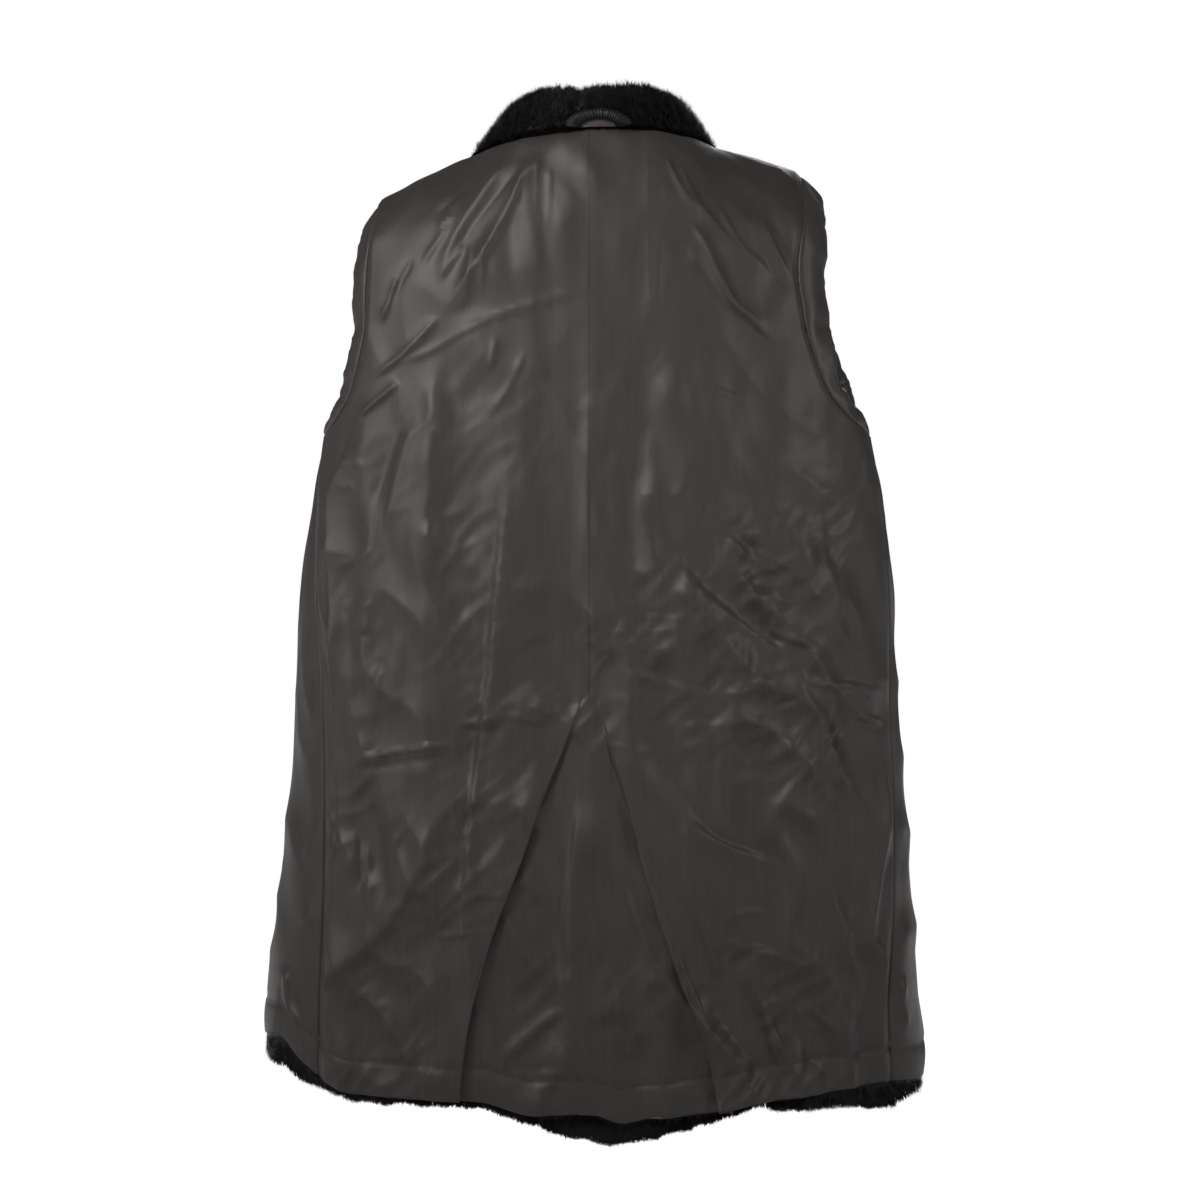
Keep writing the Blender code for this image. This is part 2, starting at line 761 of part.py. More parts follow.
def tube_ring(side, size, index, count):
    """One point of a level ring of the sleeve's tube; index 0 is innermost."""
    angle = 2 * math.pi * index / count
    centre_x = TUBE_OUTER_X - size.half_x
    x = side * (centre_x - size.half_x * math.cos(angle))
    return np.array((x, -size.half_y * math.sin(angle), size.z))


def build_sleeve(side):
    name = side_name(side)
    strips = sleeve_paths(side)
    count = len(strips)
    grid = []
    normals = []
    for index, (path, turned, heading) in enumerate(strips):
        start = path[-1]
        end = tube_ring(side, SLEEVE_TUBE[0], index, count)
        span = np.linalg.norm(end - start)
        pull_in = heading * span * TUBE_PULL_IN
        pull_down = np.array((0.0, 0.0, -1.0)) * span * TUBE_PULL_DOWN
        line = list(path)
        line += [hermite(start, pull_in, end, pull_down, share) for share in TUBE_SHARES]
        line += [tube_ring(side, size, index, count) for size in SLEEVE_TUBE]
        grid.append(line)
        normals.append(list(turned))
    grid = np.array(grid).transpose(1, 0, 2)
    rows = grid.shape[0]
    known = len(normals[0])
    facing = np.zeros_like(grid)
    for row in range(rows):
        for index in range(count):
            if row < known:
                facing[row, index] = normals[index][row]
                continue
            around = grid[row, (index + 1) % count] - grid[row, index - 1]
            along = grid[min(row + 1, rows - 1), index] - grid[row - 1, index]
            normal = unit(np.cross(around, along))
            middle = grid[row].mean(axis=0)
            if np.dot(normal, middle - grid[row, index]) < 0:
                normal = -normal
            facing[row, index] = normal
    wall(f"lining_sleeve_{name}", "lining", grid, grid - facing * LINING_WALL, ring=True)
    longer = np.array(grid)
    longer[-1, :, 2] -= FUR_CUFF_DROP
    depth = LINING_WALL + LAYER_GAP
    wall(f"fur_sleeve_{name}", "fur", longer - facing * depth,
         longer - facing * (depth + SLEEVE_FUR_WALL), ring=True)


# ---------------------------------------------------------------- collar and loop
def neck_point(angle_degrees):
    """Point of the neckline by angle round the neck from the centre back."""
    angle = math.radians(angle_degrees)
    facing = -1 if abs(angle_degrees) <= 90 else 1
    return top_point(NECK_REACH * NECK_HALF_WIDTH * math.sin(angle), facing)


def collar_frame(angle_degrees):
    """Foot, outward direction, rise and thickness of the collar at an angle."""
    base = neck_point(angle_degrees)
    outward = unit(np.array((base[0], base[1], 0.0)))
    height = read(COLLAR, "height", angle_degrees, "angle")
    lean = read(COLLAR, "lean", angle_degrees, "angle")
    thick = read(COLLAR, "thick", angle_degrees, "angle")
    foot = base + outward * (COLLAR_OUTSET - thick / 2) + np.array((0.0, 0.0, COLLAR_LIFT))
    return foot, outward, np.array((0.0, 0.0, height)) - outward * lean, thick


def rounded(value, power):
    return math.copysign(abs(value) ** (2 / power), value)


def collar_section(angle_degrees):
    """Ring of points round the collar, standing on the neckline."""
    foot, outward, rise, thick = collar_frame(angle_degrees)
    points = []
    for step in range(COLLAR_SIDES):
        turn = 2 * math.pi * step / COLLAR_SIDES
        across = rounded(math.cos(turn), COLLAR_POWER)
        up = rounded(math.sin(turn), COLLAR_POWER)
        points.append(foot + outward * (thick / 2 * across) + rise * (0.5 + 0.5 * up))
    return points


def build_collar():
    angles = np.linspace(COLLAR[0].angle, COLLAR[-1].angle, COLLAR_STATIONS + 1)
    tube("fur_collar", "fur", [collar_section(angle) for angle in angles])


def loop_centre(turn):
    """Centre of the loop's tube, which lies against the back of the collar."""
    x = LOOP_CENTRE_X - LOOP_HALF_WIDTH * math.cos(turn)
    angle = math.degrees(math.asin(x / NECK_HALF_WIDTH))
    foot, outward, rise, thick = collar_frame(angle)
    climb = LOOP_FOOT + LOOP_HEIGHT * math.sin(turn)
    return foot + outward * (thick / 2 + LOOP_RADIUS + SEAM_GAP) + rise * (climb / rise[2])


def build_hanger_loop():
    """A short arched tube sewn into the neck seam at the centre back."""
    turns = np.linspace(0, math.pi, LOOP_STATIONS)
    centres = [loop_centre(turn) for turn in turns]
    stations = []
    for index, centre in enumerate(centres):
        along = unit(centres[min(index + 1, LOOP_STATIONS - 1)] - centres[max(index - 1, 0)])
        depth = unit(np.cross(along, np.cross((0.0, 1.0, 0.0), along)))
        side = np.cross(along, depth)
        stations.append([centre + LOOP_RADIUS * (depth * math.cos(a) + side * math.sin(a))
                         for a in np.linspace(0, 2 * math.pi, LOOP_SIDES, endpoint=False)])
    tube("hanger_loop", "lining", stations)


def main():
    clear_scene()
    build_back()
    for side in (-1, 1):
        build_front(side)
        build_sleeve(side)
    build_collar()
    build_hanger_loop()


main()
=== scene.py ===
"""Looks of a knee-length mink coat that is turned inside out and filled out as if worn.

Its satin lining faces out, with an inverted pleat in the back, and its fur faces in. The collar
stands up with fur on both sides, a ruched hanger loop is sewn into the neck seam, and both
sleeves are tucked in through their armholes. Every panel is laid on one body surface, the same
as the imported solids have, in metres: +Z is up, +Y the wearer's front, +X the wearer's right.
"""

from __future__ import annotations

import logging
import math
from collections.abc import Callable, Iterator
from dataclasses import dataclass, field
from enum import Enum

import bmesh
import bpy
import numpy as np
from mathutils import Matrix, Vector, noise


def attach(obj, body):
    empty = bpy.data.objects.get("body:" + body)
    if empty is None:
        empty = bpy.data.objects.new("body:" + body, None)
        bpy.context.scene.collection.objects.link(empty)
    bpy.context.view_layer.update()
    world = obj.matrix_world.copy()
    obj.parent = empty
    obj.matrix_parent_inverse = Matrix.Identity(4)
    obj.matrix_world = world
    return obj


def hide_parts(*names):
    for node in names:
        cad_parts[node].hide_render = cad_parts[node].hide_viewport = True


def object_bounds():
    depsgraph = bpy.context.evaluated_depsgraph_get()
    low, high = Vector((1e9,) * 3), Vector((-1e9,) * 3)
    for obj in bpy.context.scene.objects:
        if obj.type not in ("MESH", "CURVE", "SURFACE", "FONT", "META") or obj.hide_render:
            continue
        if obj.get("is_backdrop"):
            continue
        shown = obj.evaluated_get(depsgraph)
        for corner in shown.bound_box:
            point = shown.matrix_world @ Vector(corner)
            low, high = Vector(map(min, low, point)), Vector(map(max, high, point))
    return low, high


Array = np.ndarray
Triple = tuple[float, float, float]
Faces = list[tuple[int, ...]]
Socket = bpy.types.NodeSocket
Tree = bpy.types.NodeTree

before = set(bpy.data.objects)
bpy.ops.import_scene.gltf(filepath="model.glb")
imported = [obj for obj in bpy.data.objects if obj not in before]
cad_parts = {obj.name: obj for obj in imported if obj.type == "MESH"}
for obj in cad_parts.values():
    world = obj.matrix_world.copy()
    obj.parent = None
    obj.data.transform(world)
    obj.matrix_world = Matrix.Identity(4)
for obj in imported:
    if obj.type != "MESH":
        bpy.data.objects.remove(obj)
CAD_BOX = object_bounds()

MM = 0.001
NEAR_ZERO = 1e-5
BACK, FRONT = -1, 1
LEFT, RIGHT = -1, 1
log = logging.getLogger("coat")


# ---------------------------------------------------------------- tables
def curve(
    t: Array | float,
    start: Array,
    leaving: Array,
    end: Array,
    arriving: Array,
    span: Array | float = 1.0,
) -> Array:
    """A smooth curve between two values, with a given slope at each.

    Args:
        t: How far along it is, from 0 to 1.
        start: The value at 0.
        leaving: The slope at 0.
        end: The value at 1.
        arriving: The slope at 1.
        span: How long the stretch is that the slopes belong to.

    Returns:
        The values at t.
    """
    from_start = (2 * t**3 - 3 * t**2 + 1) * start + (t**3 - 2 * t**2 + t) * span * leaving
    return from_start + (3 * t**2 - 2 * t**3) * end + (t**3 - t**2) * span * arriving


class Table:
    """Rows of named numbers, read between its rows on a smooth curve that never overshoots."""

    def __init__(self, names: str, *rows: tuple[float, ...]) -> None:
        """Sorts the rows by their first column.

        Args:
            names: The columns' names, parted by blanks; the first is what the table is read by.
            rows: One tuple of numbers for each row.
        """
        ordered = np.array(sorted(rows), float)
        self.places = ordered[:, 0]
        self.columns = dict(zip(names.split()[1:], ordered[:, 1:].T))
        self.slopes = {name: self._slopes(values) for name, values in self.columns.items()}

    def _slopes(self, values: Array) -> Array:
        """Slope at each row, level where the column turns.

        Args:
            values: One column.

        Returns:
            The slopes.
        """
        steps = np.diff(values) / np.diff(self.places)
        slopes = np.zeros_like(values)
        slopes[0] = steps[0]
        slopes[-1] = steps[-1]
        product = steps[:-1] * steps[1:]
        total = np.where(product > 0, steps[:-1] + steps[1:], 1.0)
        slopes[1:-1] = np.where(product > 0, 2 * product / total, 0.0)
        return slopes

    def read(self, name: str, at: Array | float) -> Array:
        """Values of a column.

        Args:
            name: The column's name.
            at: Where to read it; past either end it keeps the end's value.

        Returns:
            The values, in the shape of at.
        """
        at = np.clip(at, self.places[0], self.places[-1])
        row = np.clip(np.searchsorted(self.places, at) - 1, 0, len(self.places) - 2)
        span = self.places[row + 1] - self.places[row]
        t = (at - self.places[row]) / span
        values = self.columns[name]
        slopes = self.slopes[name]
        return curve(t, values[row], slopes[row], values[row + 1], slopes[row + 1], span)


# Half-widths to the left and right and half-depths to the back and front, by height.
SECTIONS = Table(
    "z left right back front",
    (-1.080, 0.367, 0.369, 0.152, 0.152),
    (-0.938, 0.363, 0.361, 0.149, 0.150),
    (-0.827, 0.350, 0.353, 0.146, 0.148),
    (-0.716, 0.338, 0.345, 0.143, 0.146),
    (-0.605, 0.329, 0.335, 0.140, 0.144),
    (-0.494, 0.325, 0.332, 0.136, 0.142),
    (-0.383, 0.311, 0.320, 0.131, 0.140),
    (-0.314, 0.299, 0.306, 0.127, 0.137),
    (-0.200, 0.285, 0.290, 0.119, 0.129),
)
# Where a panel ends, as a share of the half-width: the side seam, then the armhole, which is
# level where it meets the shoulders at the chest.
BACK_EDGE = Table(
    "z left right",
    (-1.080, 0.800, 0.870),
    (-0.938, 0.810, 0.880),
    (-0.827, 0.830, 0.920),
    (-0.605, 0.890, 0.965),
    (-0.420, 0.955, 0.980),
    (-0.314, 1.000, 1.000),
    (-0.300, 0.955, 0.936),
    (-0.275, 0.910, 0.860),
    (-0.240, 0.885, 0.816),
    (-0.200, 0.870, 0.791),
    (-0.190, 0.870, 0.790),
)
FRONT_ARMHOLE = Table(
    "z left right",
    (-0.314, 1.000, 1.000),
    (-0.300, 0.955, 0.975),
    (-0.275, 0.890, 0.925),
    (-0.240, 0.830, 0.865),
    (-0.200, 0.790, 0.805),
    (-0.190, 0.790, 0.805),
)
# The lining's hem by share of the half-width, and how far the fur hangs below it.
HEM_BACK = Table(
    "share z fur_drop",
    (-1.00, -0.968, 0.024),
    (-0.93, -0.966, 0.030),
    (-0.87, -0.985, 0.022),
    (-0.78, -1.008, 0.006),
    (-0.69, -1.018, 0.005),
    (-0.35, -1.021, 0.005),
    (-0.16, -1.034, 0.008),
    (-0.11, -1.033, 0.019),
    (-0.02, -1.032, 0.026),
    (0.03, -1.036, 0.027),
    (0.08, -1.043, 0.018),
    (0.15, -1.038, 0.020),
    (0.36, -1.031, 0.008),
    (0.46, -1.024, 0.004),
    (0.60, -1.018, 0.012),
    (0.74, -1.014, 0.015),
    (0.86, -1.011, 0.026),
    (0.95, -1.013, 0.014),
    (1.00, -1.015, 0.006),
)
HEM_FRONT = Table(
    "share z fur_drop",
    (-1.00, -0.968, 0.024),
    (-0.70, -0.998, 0.012),
    (-0.35, -1.006, 0.012),
    (0.00, -1.010, 0.014),
    (0.35, -1.008, 0.010),
    (0.70, -1.012, 0.014),
    (1.00, -1.015, 0.006),
)
# The inverted pleat: x of its two folded edges, how far they stand out and fold under.
PLEAT = Table(
    "z left right height tuck",
    (-1.080, -0.143, 0.137, 0.0100, 0.011),
    (-0.979, -0.133, 0.120, 0.0095, 0.010),
    (-0.880, -0.112, 0.085, 0.0088, 0.008),
    (-0.770, -0.075, 0.051, 0.0084, 0.005),
    (-0.735, -0.063, 0.043, 0.0080, 0.0015),
    (-0.700, -0.050, 0.033, 0.0072, 0.0),
    (-0.640, -0.026, 0.016, 0.0035, 0.0),
    (-0.600, -0.014, 0.005, 0.0008, 0.0),
    (-0.588, -0.013, 0.004, 0.0, 0.0),
    (-0.560, -0.018, 0.009, 0.0, 0.0),
    (-0.460, -0.045, 0.040, 0.0, 0.0),
    (-0.250, -0.070, 0.065, 0.0, 0.0),
)
# Width of the sleeve lining that shows between the armhole seam and the rim, behind and in front,
# by place round the armhole from 0 at the shoulder to 1 at the underarm.
STRIP = Table(
    "place left right left_front right_front",
    (0.00, 0.020, 0.026, 0.020, 0.026),
    (0.20, 0.022, 0.034, 0.024, 0.033),
    (0.40, 0.016, 0.036, 0.026, 0.036),
    (0.50, 0.013, 0.033, 0.030, 0.037),
    (0.56, 0.012, 0.028, 0.032, 0.037),
    (0.63, 0.012, 0.022, 0.032, 0.036),
    (0.70, 0.011, 0.016, 0.030, 0.033),
    (0.80, 0.010, 0.013, 0.024, 0.026),
    (0.90, 0.008, 0.010, 0.014, 0.014),
    (1.00, 0.006, 0.007, 0.006, 0.007),
)
# Half-axes of the sleeve's oval tube inside the coat, by height.
SLEEVE_TUBE = Table(
    "z half_x half_y",
    (-0.385, 0.0700, 0.054),
    (-0.540, 0.0640, 0.049),
    (-0.700, 0.0580, 0.044),
)
# The collar's height, outward lean and thickness, by the angle from the centre back in degrees.
COLLAR = Table(
    "angle height lean thick",
    (-176.0, 0.038, 0.006, 0.020),
    (-140.0, 0.046, 0.016, 0.024),
    (-90.0, 0.060, 0.042, 0.026),
    (-50.0, 0.059, 0.028, 0.026),
    (-30.0, 0.056, 0.018, 0.026),
    (0.0, 0.047, 0.010, 0.026),
    (30.0, 0.055, 0.018, 0.026),
    (50.0, 0.056, 0.026, 0.026),
    (90.0, 0.057, 0.036, 0.026),
    (140.0, 0.046, 0.016, 0.024),
    (176.0, 0.038, 0.006, 0.020),
)


# ---------------------------------------------------------------- small helpers
def unit(vectors: Array) -> Array:
    """The vectors, each made one long."""
    length = np.linalg.norm(vectors, axis=-1, keepdims=True)
    return vectors / np.maximum(length, 1e-12)


def smooth(t: Array | float) -> Array:
    """A soft step from 0 to 1, as t goes from 0 to 1."""
    t = np.clip(t, 0.0, 1.0)
    return t * t * (3 - 2 * t)


def by_side(side: Array, table: Table, at: Array | float) -> Array:
    """Reads a table's left or right column, by the sign of side."""
    return np.where(side < 0, table.read("left", at), table.read("right", at))


def wrap(grid: Array) -> Array:
    """The grid with its first column repeated after the last, to close it round."""
    return np.concatenate((grid, grid[:, :1]), axis=1)


def quads(numbers: Array) -> Faces:
    """Four-sided faces between the vertices of a grid, given by their numbers."""
    corners = (numbers[:-1, :-1], numbers[:-1, 1:], numbers[1:, 1:], numbers[1:, :-1])
    return list(zip(*(part.ravel().tolist() for part in corners)))


def tube_faces(rings: int, sides: int) -> Faces:
    """Faces of a tube with closed ends.

    Args:
        rings: How many rings of vertices it has.
        sides: How many vertices there are in a ring.

    Returns:
        The faces, as tuples of vertex numbers.
    """
    numbers = np.arange(rings * sides).reshape(rings, sides)
    return [*quads(wrap(numbers)), tuple(numbers[0].tolist()), tuple(numbers[-1].tolist())]


def waves(points: Array, scale: Triple, seed: float) -> Array:
    """Smooth noise from about -1 to 1.

    Args:
        points: The places, as rows of x, y and z.
        scale: How many cells of noise there are in a metre, along each axis.
        seed: Moves the noise, so that each use of it differs.

    Returns:
        One value for each place.
    """
    flat = points.reshape(-1, 3) * np.array(scale) + seed
    found = np.array([noise.noise(Vector(place)) for place in flat.tolist()])
    return found.reshape(points.shape[:-1])


def linear(hex_colour: str) -> tuple[float, float, float, float]:
    """Turns an sRGB hex value to a linear colour.

    Args:
        hex_colour: The value, such as #4b4745.

    Returns:
        Red, green, blue and an alpha of 1.
    """
    parts = [int(hex_colour[i : i + 2], 16) / 255 for i in (1, 3, 5)]
    bent = [p / 12.92 if p <= 0.04045 else ((p + 0.055) / 1.055) ** 2.4 for p in parts]
    return (*bent, 1.0)


def add_node(
    tree: Tree,
    kind: str,
    settings: dict[str | int, object] | None = None,
    links: dict[str | int, Socket] | None = None,
    output: str | int = 0,
) -> Socket:
    """Adds a node to a material.

    Args:
        tree: The material's node tree.
        kind: The node's type, without ShaderNode before it.
        settings: Values by property name, socket name or socket number.
        links: The sockets that feed this node's own, by name or number.
        output: The output that is wanted, by name or number.

    Returns:
        That output of the new node.
    """
    node = tree.nodes.new(f"ShaderNode{kind}")
    for name, value in (settings or {}).items():
        if isinstance(name, str) and hasattr(node, name):
            setattr(node, name, value)
        else:
            node.inputs[name].default_value = value
    for name, source in (links or {}).items():
        tree.links.new(source, node.inputs[name])
    return node.outputs[output]


# ---------------------------------------------------------------- the body surface
class RowKind(Enum):
    """Where on the body a panel's row lies, and so what its value means."""

    SHOULDER = "degrees round the shoulder, 0 at the top edge"
    ARMHOLE = "height in metres"
    SKIRT = "share of the way from the underarm to the hem"


@dataclass(frozen=True)
class Row:
    """One row of a panel's grid."""

    kind: RowKind
    value: float


@dataclass(frozen=True)
class RowPlan:
    """How many steps a panel has down each stretch of the body."""

    shoulder: int
    armhole: int
    skirt: int

    def rows(self, body: BodyForm) -> list[Row]:
        """The rows from the top edge to the hem.

        Args:
            body: The surface they lie on.

        Returns:
            The rows.
        """
        rows = [Row(RowKind.SHOULDER, turn) for turn in np.linspace(0, 90, self.shoulder + 1)]
        heights = np.linspace(body.chest_z, body.underarm_z, self.armhole + 1)[1:]
        rows += [Row(RowKind.ARMHOLE, z) for z in heights]
        rows += [Row(RowKind.SKIRT, share) for share in np.linspace(0, 1, self.skirt + 1)[1:]]
        return rows


@dataclass(frozen=True)
class BodyForm:
    """The surface that the coat's panels are laid on, filled out as if worn.

    The left shoulder slopes lower than the right one, and the surface leans with the shoulders.
    """

    neck_half_width: float = 0.132
    neck_back_depth: float = 0.088
    neck_front_depth: float = 0.100
    neck_back_rise: float = 0.012
    neck_front_drop: float = 0.080
    neck_power: float = 0.6
    shoulder_left: float = 0.236
    shoulder_right: float = 0.229
    shoulder_drop_left: float = 0.047
    shoulder_drop_right: float = 0.031
    shoulder_bow: float = 1.30
    shoulder_lean: float = 0.035
    drawn_in: float = 0.009
    drawn_in_z: float = -0.140
    drawn_in_reach: float = 0.045
    drawn_in_between: tuple[float, float] = (0.130, 0.215)
    chest_z: float = -0.200
    dome_height: float = 0.210
    underarm_z: float = -0.314
    hem_ring_z: float = -1.020
    usual_hem_z: float = -1.034
    ring_power: float = 2.4

    def ring(self, z: Array, angle: Array, facing: int) -> tuple[Array, Array]:
        """Points and outward normals at heights and angles.

        Args:
            z: The heights.
            angle: 0 at the centre back or front, a quarter turn at the side, in radians.
            facing: BACK or FRONT.

        Returns:
            The points and the normals.
        """
        z, angle = np.broadcast_arrays(z, angle)
        side = np.where(angle < 0, -1.0, 1.0)
        across = np.abs(np.sin(angle)) ** (2 / self.ring_power)
        turn = np.cos(angle)
        along = np.sign(turn) * np.abs(turn) ** (2 / self.ring_power)
        half_width = by_side(side, SECTIONS, z)
        towards = np.where(turn >= 0, facing, -facing)
        half_depth = np.where(towards < 0, SECTIONS.read("back", z), SECTIONS.read("front", z))
        points = np.stack((side * half_width * across, facing * half_depth * along, z), axis=-1)
        power = self.ring_power - 1
        slope_x = side * across**power / half_width
        slope_y = facing * np.sign(along) * np.abs(along) ** power / half_depth
        return points, unit(np.stack((slope_x, slope_y, np.zeros_like(slope_x)), axis=-1))

    def top(self, x: Array, facing: int) -> Array:
        """Points of the top edge: the neckline, then the shoulder seam.

        Args:
            x: Where they are across.
            facing: BACK or FRONT.

        Returns:
            The points.
        """
        share = np.abs(x) / self.neck_half_width
        lean = self.shoulder_lean * x
        tip = np.where(x < 0, self.shoulder_left, self.shoulder_right)
        down = np.maximum(np.abs(x) - self.neck_half_width, 0) / (tip - self.neck_half_width)
        fall = np.where(x < 0, self.shoulder_drop_left, self.shoulder_drop_right)
        drop = fall * down**self.shoulder_bow
        depth = self.neck_back_depth if facing < 0 else self.neck_front_depth
        rise = self.neck_back_rise if facing < 0 else -self.neck_front_drop
        inset = np.clip(1 - share * share, 0.0, 1.0)
        y = facing * depth * inset**self.neck_power
        z = lean + np.where(share >= 1, -drop, rise * inset)
        return np.stack((x, y, z), axis=-1)

    def dome(self, degrees: float, angle: Array, facing: int) -> tuple[Array, Array]:
        """Points and normals of the shoulders, from the top edge down to the chest.

        Args:
            degrees: 0 at the top edge, 90 at the chest.
            angle: The angle that each point has round the chest.
            facing: BACK or FRONT.

        Returns:
            The points and the normals.
        """
        chest, _ = self.ring(self.chest_z, angle, facing)
        side = np.where(angle < 0, -1.0, 1.0)
        edge = by_side(side, SECTIONS, self.chest_z) * self.edge_share(self.chest_z, side, facing)
        tip = np.where(side < 0, self.shoulder_left, self.shoulder_right)
        top = self.top(tip * chest[..., 0] / edge, facing)
        turn = math.radians(degrees)
        flat = top[..., :2] + (chest[..., :2] - top[..., :2]) * math.sin(turn)
        height = top[..., 2:] + (self.chest_z - top[..., 2:]) * (1 - math.cos(turn))
        points = np.concatenate((flat, height), axis=-1)
        x, y, z = points[..., 0], points[..., 1], points[..., 2]
        half_width = by_side(x, SECTIONS, self.chest_z)
        half_depth = SECTIONS.read("back" if facing < 0 else "front", self.chest_z)
        power = self.ring_power - 1
        slope_x = np.sign(x) * (np.abs(x) / half_width) ** power / half_width
        slope_y = np.sign(y) * (np.abs(y) / half_depth) ** power / half_depth
        slope_z = (np.maximum(z - self.chest_z, 0) / self.dome_height) ** power / self.dome_height
        return points, unit(np.stack((slope_x, slope_y, slope_z), axis=-1))

    def drawn(self, points: Array, normals: Array) -> tuple[Array, Array]:
        """Draws the surface in at the right armhole, where the photographed edge lies further in.

        Args:
            points: Points of the surface.
            normals: Their normals, which stay as they are.

        Returns:
            The moved points and the normals.
        """
        x, z = points[..., 0], points[..., 2]
        start, full = self.drawn_in_between
        near = np.exp(-(((z - self.drawn_in_z) / self.drawn_in_reach) ** 2))
        points = points.copy()
        points[..., 0] -= self.drawn_in * near * smooth((x - start) / (full - start))
        return points, normals

    def edge_share(self, z: Array, side: Array, facing: int) -> Array:
        """Where a panel ends across the body.

        Args:
            z: The heights.
            side: Below 0 for the left.
            facing: BACK or FRONT.

        Returns:
            The shares of the half-width.
        """
        back = by_side(side, BACK_EDGE, z)
        if facing < 0:
            return back
        return np.where(np.asarray(z) < self.underarm_z, back, by_side(side, FRONT_ARMHOLE, z))

    def angle_at(self, share: Array) -> Array:
        """The angle at which the body has a share of its half-width."""
        return np.arcsin(np.minimum(share, 1.0) ** (self.ring_power / 2))

    def edge_angle(self, z: Array, side: Array, facing: int) -> Array:
        """Angle of a panel's outer edge; a front reaches round to the side seam.

        Args:
            z: The heights.
            side: Below 0 for the left.
            facing: BACK or FRONT.

        Returns:
            The angles in radians.
        """
        angle = self.angle_at(self.edge_share(z, side, facing))
        if facing > 0:
            angle = np.where(np.asarray(z) < self.underarm_z, math.pi - angle, angle)
        return angle

    def hem(self, x: Array, facing: Array, fur: bool) -> Array:
        """Height of the hem.

        Args:
            x: Where it is read across the body.
            facing: Below 0 for the back.
            fur: Whether the fur's hem is meant and not the lining's.

        Returns:
            The heights.
        """
        share = x / by_side(x, SECTIONS, -1.0)
        height = np.where(facing < 0, HEM_BACK.read("z", share), HEM_FRONT.read("z", share))
        if fur:
            back_drop = HEM_BACK.read("fur_drop", share)
            height = height - np.where(facing < 0, back_drop, HEM_FRONT.read("fur_drop", share))
        return height

    def usual_height(self, row: Row) -> float:
        """The height that most of a row's points have, from the chest down.

        Args:
            row: The row.

        Returns:
            The height.
        """
        if row.kind is RowKind.SHOULDER:
            return self.chest_z
        if row.kind is RowKind.ARMHOLE:
            return row.value
        return self.underarm_z + (self.usual_hem_z - self.underarm_z) * row.value

    def share_of(self, x: float, row: Row, facing: int) -> float:
        """Finds a place across the body on a panel's row.

        Args:
            x: The place.
            row: The row.
            facing: BACK or FRONT.

        Returns:
            Its signed share of the way to the panel's edge.
        """
        z = self.usual_height(row)
        half_width = by_side(np.array(x), SECTIONS, z)
        edge = self.edge_angle(z, np.array(x), facing)
        return float(np.sign(x) * self.angle_at(abs(x) / half_width) / edge)

    def panel(
        self, row: Row, shares: Array, facing: int, fur: bool = False
    ) -> tuple[Array, Array]:
        """Points and normals along one row of a panel.

        Args:
            row: The row.
            shares: Signed places, 0 at the centre and 1 or -1 at the panel's edge.
            facing: BACK or FRONT.
            fur: Whether the row ends at the fur's hem and not the lining's.

        Returns:
            The points and the normals.
        """
        shares = np.where(np.abs(shares) < NEAR_ZERO, NEAR_ZERO, shares)
        side = np.sign(shares)
        if row.kind is RowKind.SHOULDER:
            angle = shares * self.edge_angle(self.chest_z, side, facing)
            return self.drawn(*self.dome(row.value, angle, facing))
        z = np.full_like(shares, row.value)
        if row.kind is RowKind.SKIRT:
            low = np.full_like(shares, self.hem_ring_z)
            foot, _ = self.ring(low, shares * self.edge_angle(low, side, facing), facing)
            towards = np.where(foot[..., 1] * facing >= 0, facing, -facing)
            hem = self.hem(foot[..., 0], towards, fur)
            z = self.underarm_z + (hem - self.underarm_z) * row.value
        return self.drawn(*self.ring(z, shares * self.edge_angle(z, side, facing), facing))


# ---------------------------------------------------------------- meshes
def grid_normals(grid: Array, ring: bool) -> Array:
    """Normals of a grid of points, by the steps to its neighbours.

    Args:
        grid: The points, by row and column.
        ring: Whether the last column joins the first.

    Returns:
        The normals, which all point to the same side of the sheet.
    """
    if ring:
        across = np.roll(grid, -1, axis=1) - np.roll(grid, 1, axis=1)
    else:
        across = np.gradient(grid, axis=1)
    return unit(np.cross(np.gradient(grid, axis=0), across))


def zip_edges(
    fine: list[int], coarse: list[int], fine_at: list[float], coarse_at: list[float]
) -> list[tuple[int, int, int]]:
    """Triangles between two lines of vertices that run side by side.

    Args:
        fine: Vertices of the one line.
        coarse: Vertices of the other.
        fine_at: How far along each vertex of the one line is.
        coarse_at: How far along each vertex of the other is.

    Returns:
        The triangles.
    """
    faces = []
    i = j = 0
    while i < len(fine) - 1 or j < len(coarse) - 1:
        coarse_done = j == len(coarse) - 1
        if coarse_done or (i < len(fine) - 1 and fine_at[i + 1] <= coarse_at[j + 1]):
            faces.append((fine[i], fine[i + 1], coarse[j]))
            i += 1
        else:
            faces.append((fine[i], coarse[j + 1], coarse[j]))
            j += 1
    return faces


def make_object(name: str, points: Array, faces: Faces) -> bpy.types.Object:
    """A smooth closed mesh object, with its faces turned outwards.

    Args:
        name: The object's name.
        points: Its vertices.
        faces: Its faces, as tuples of vertex numbers.

    Returns:
        The object.
    """
    mesh = bpy.data.meshes.new(name)
    mesh.from_pydata(points.tolist(), [], faces)
    shape = bmesh.new()
    shape.from_mesh(mesh)
    bmesh.ops.recalc_face_normals(shape, faces=shape.faces)
    shape.to_mesh(mesh)
    shape.free()
    mesh.shade_smooth()
    made = bpy.data.objects.new(name, mesh)
    bpy.context.scene.collection.objects.link(made)
    return made


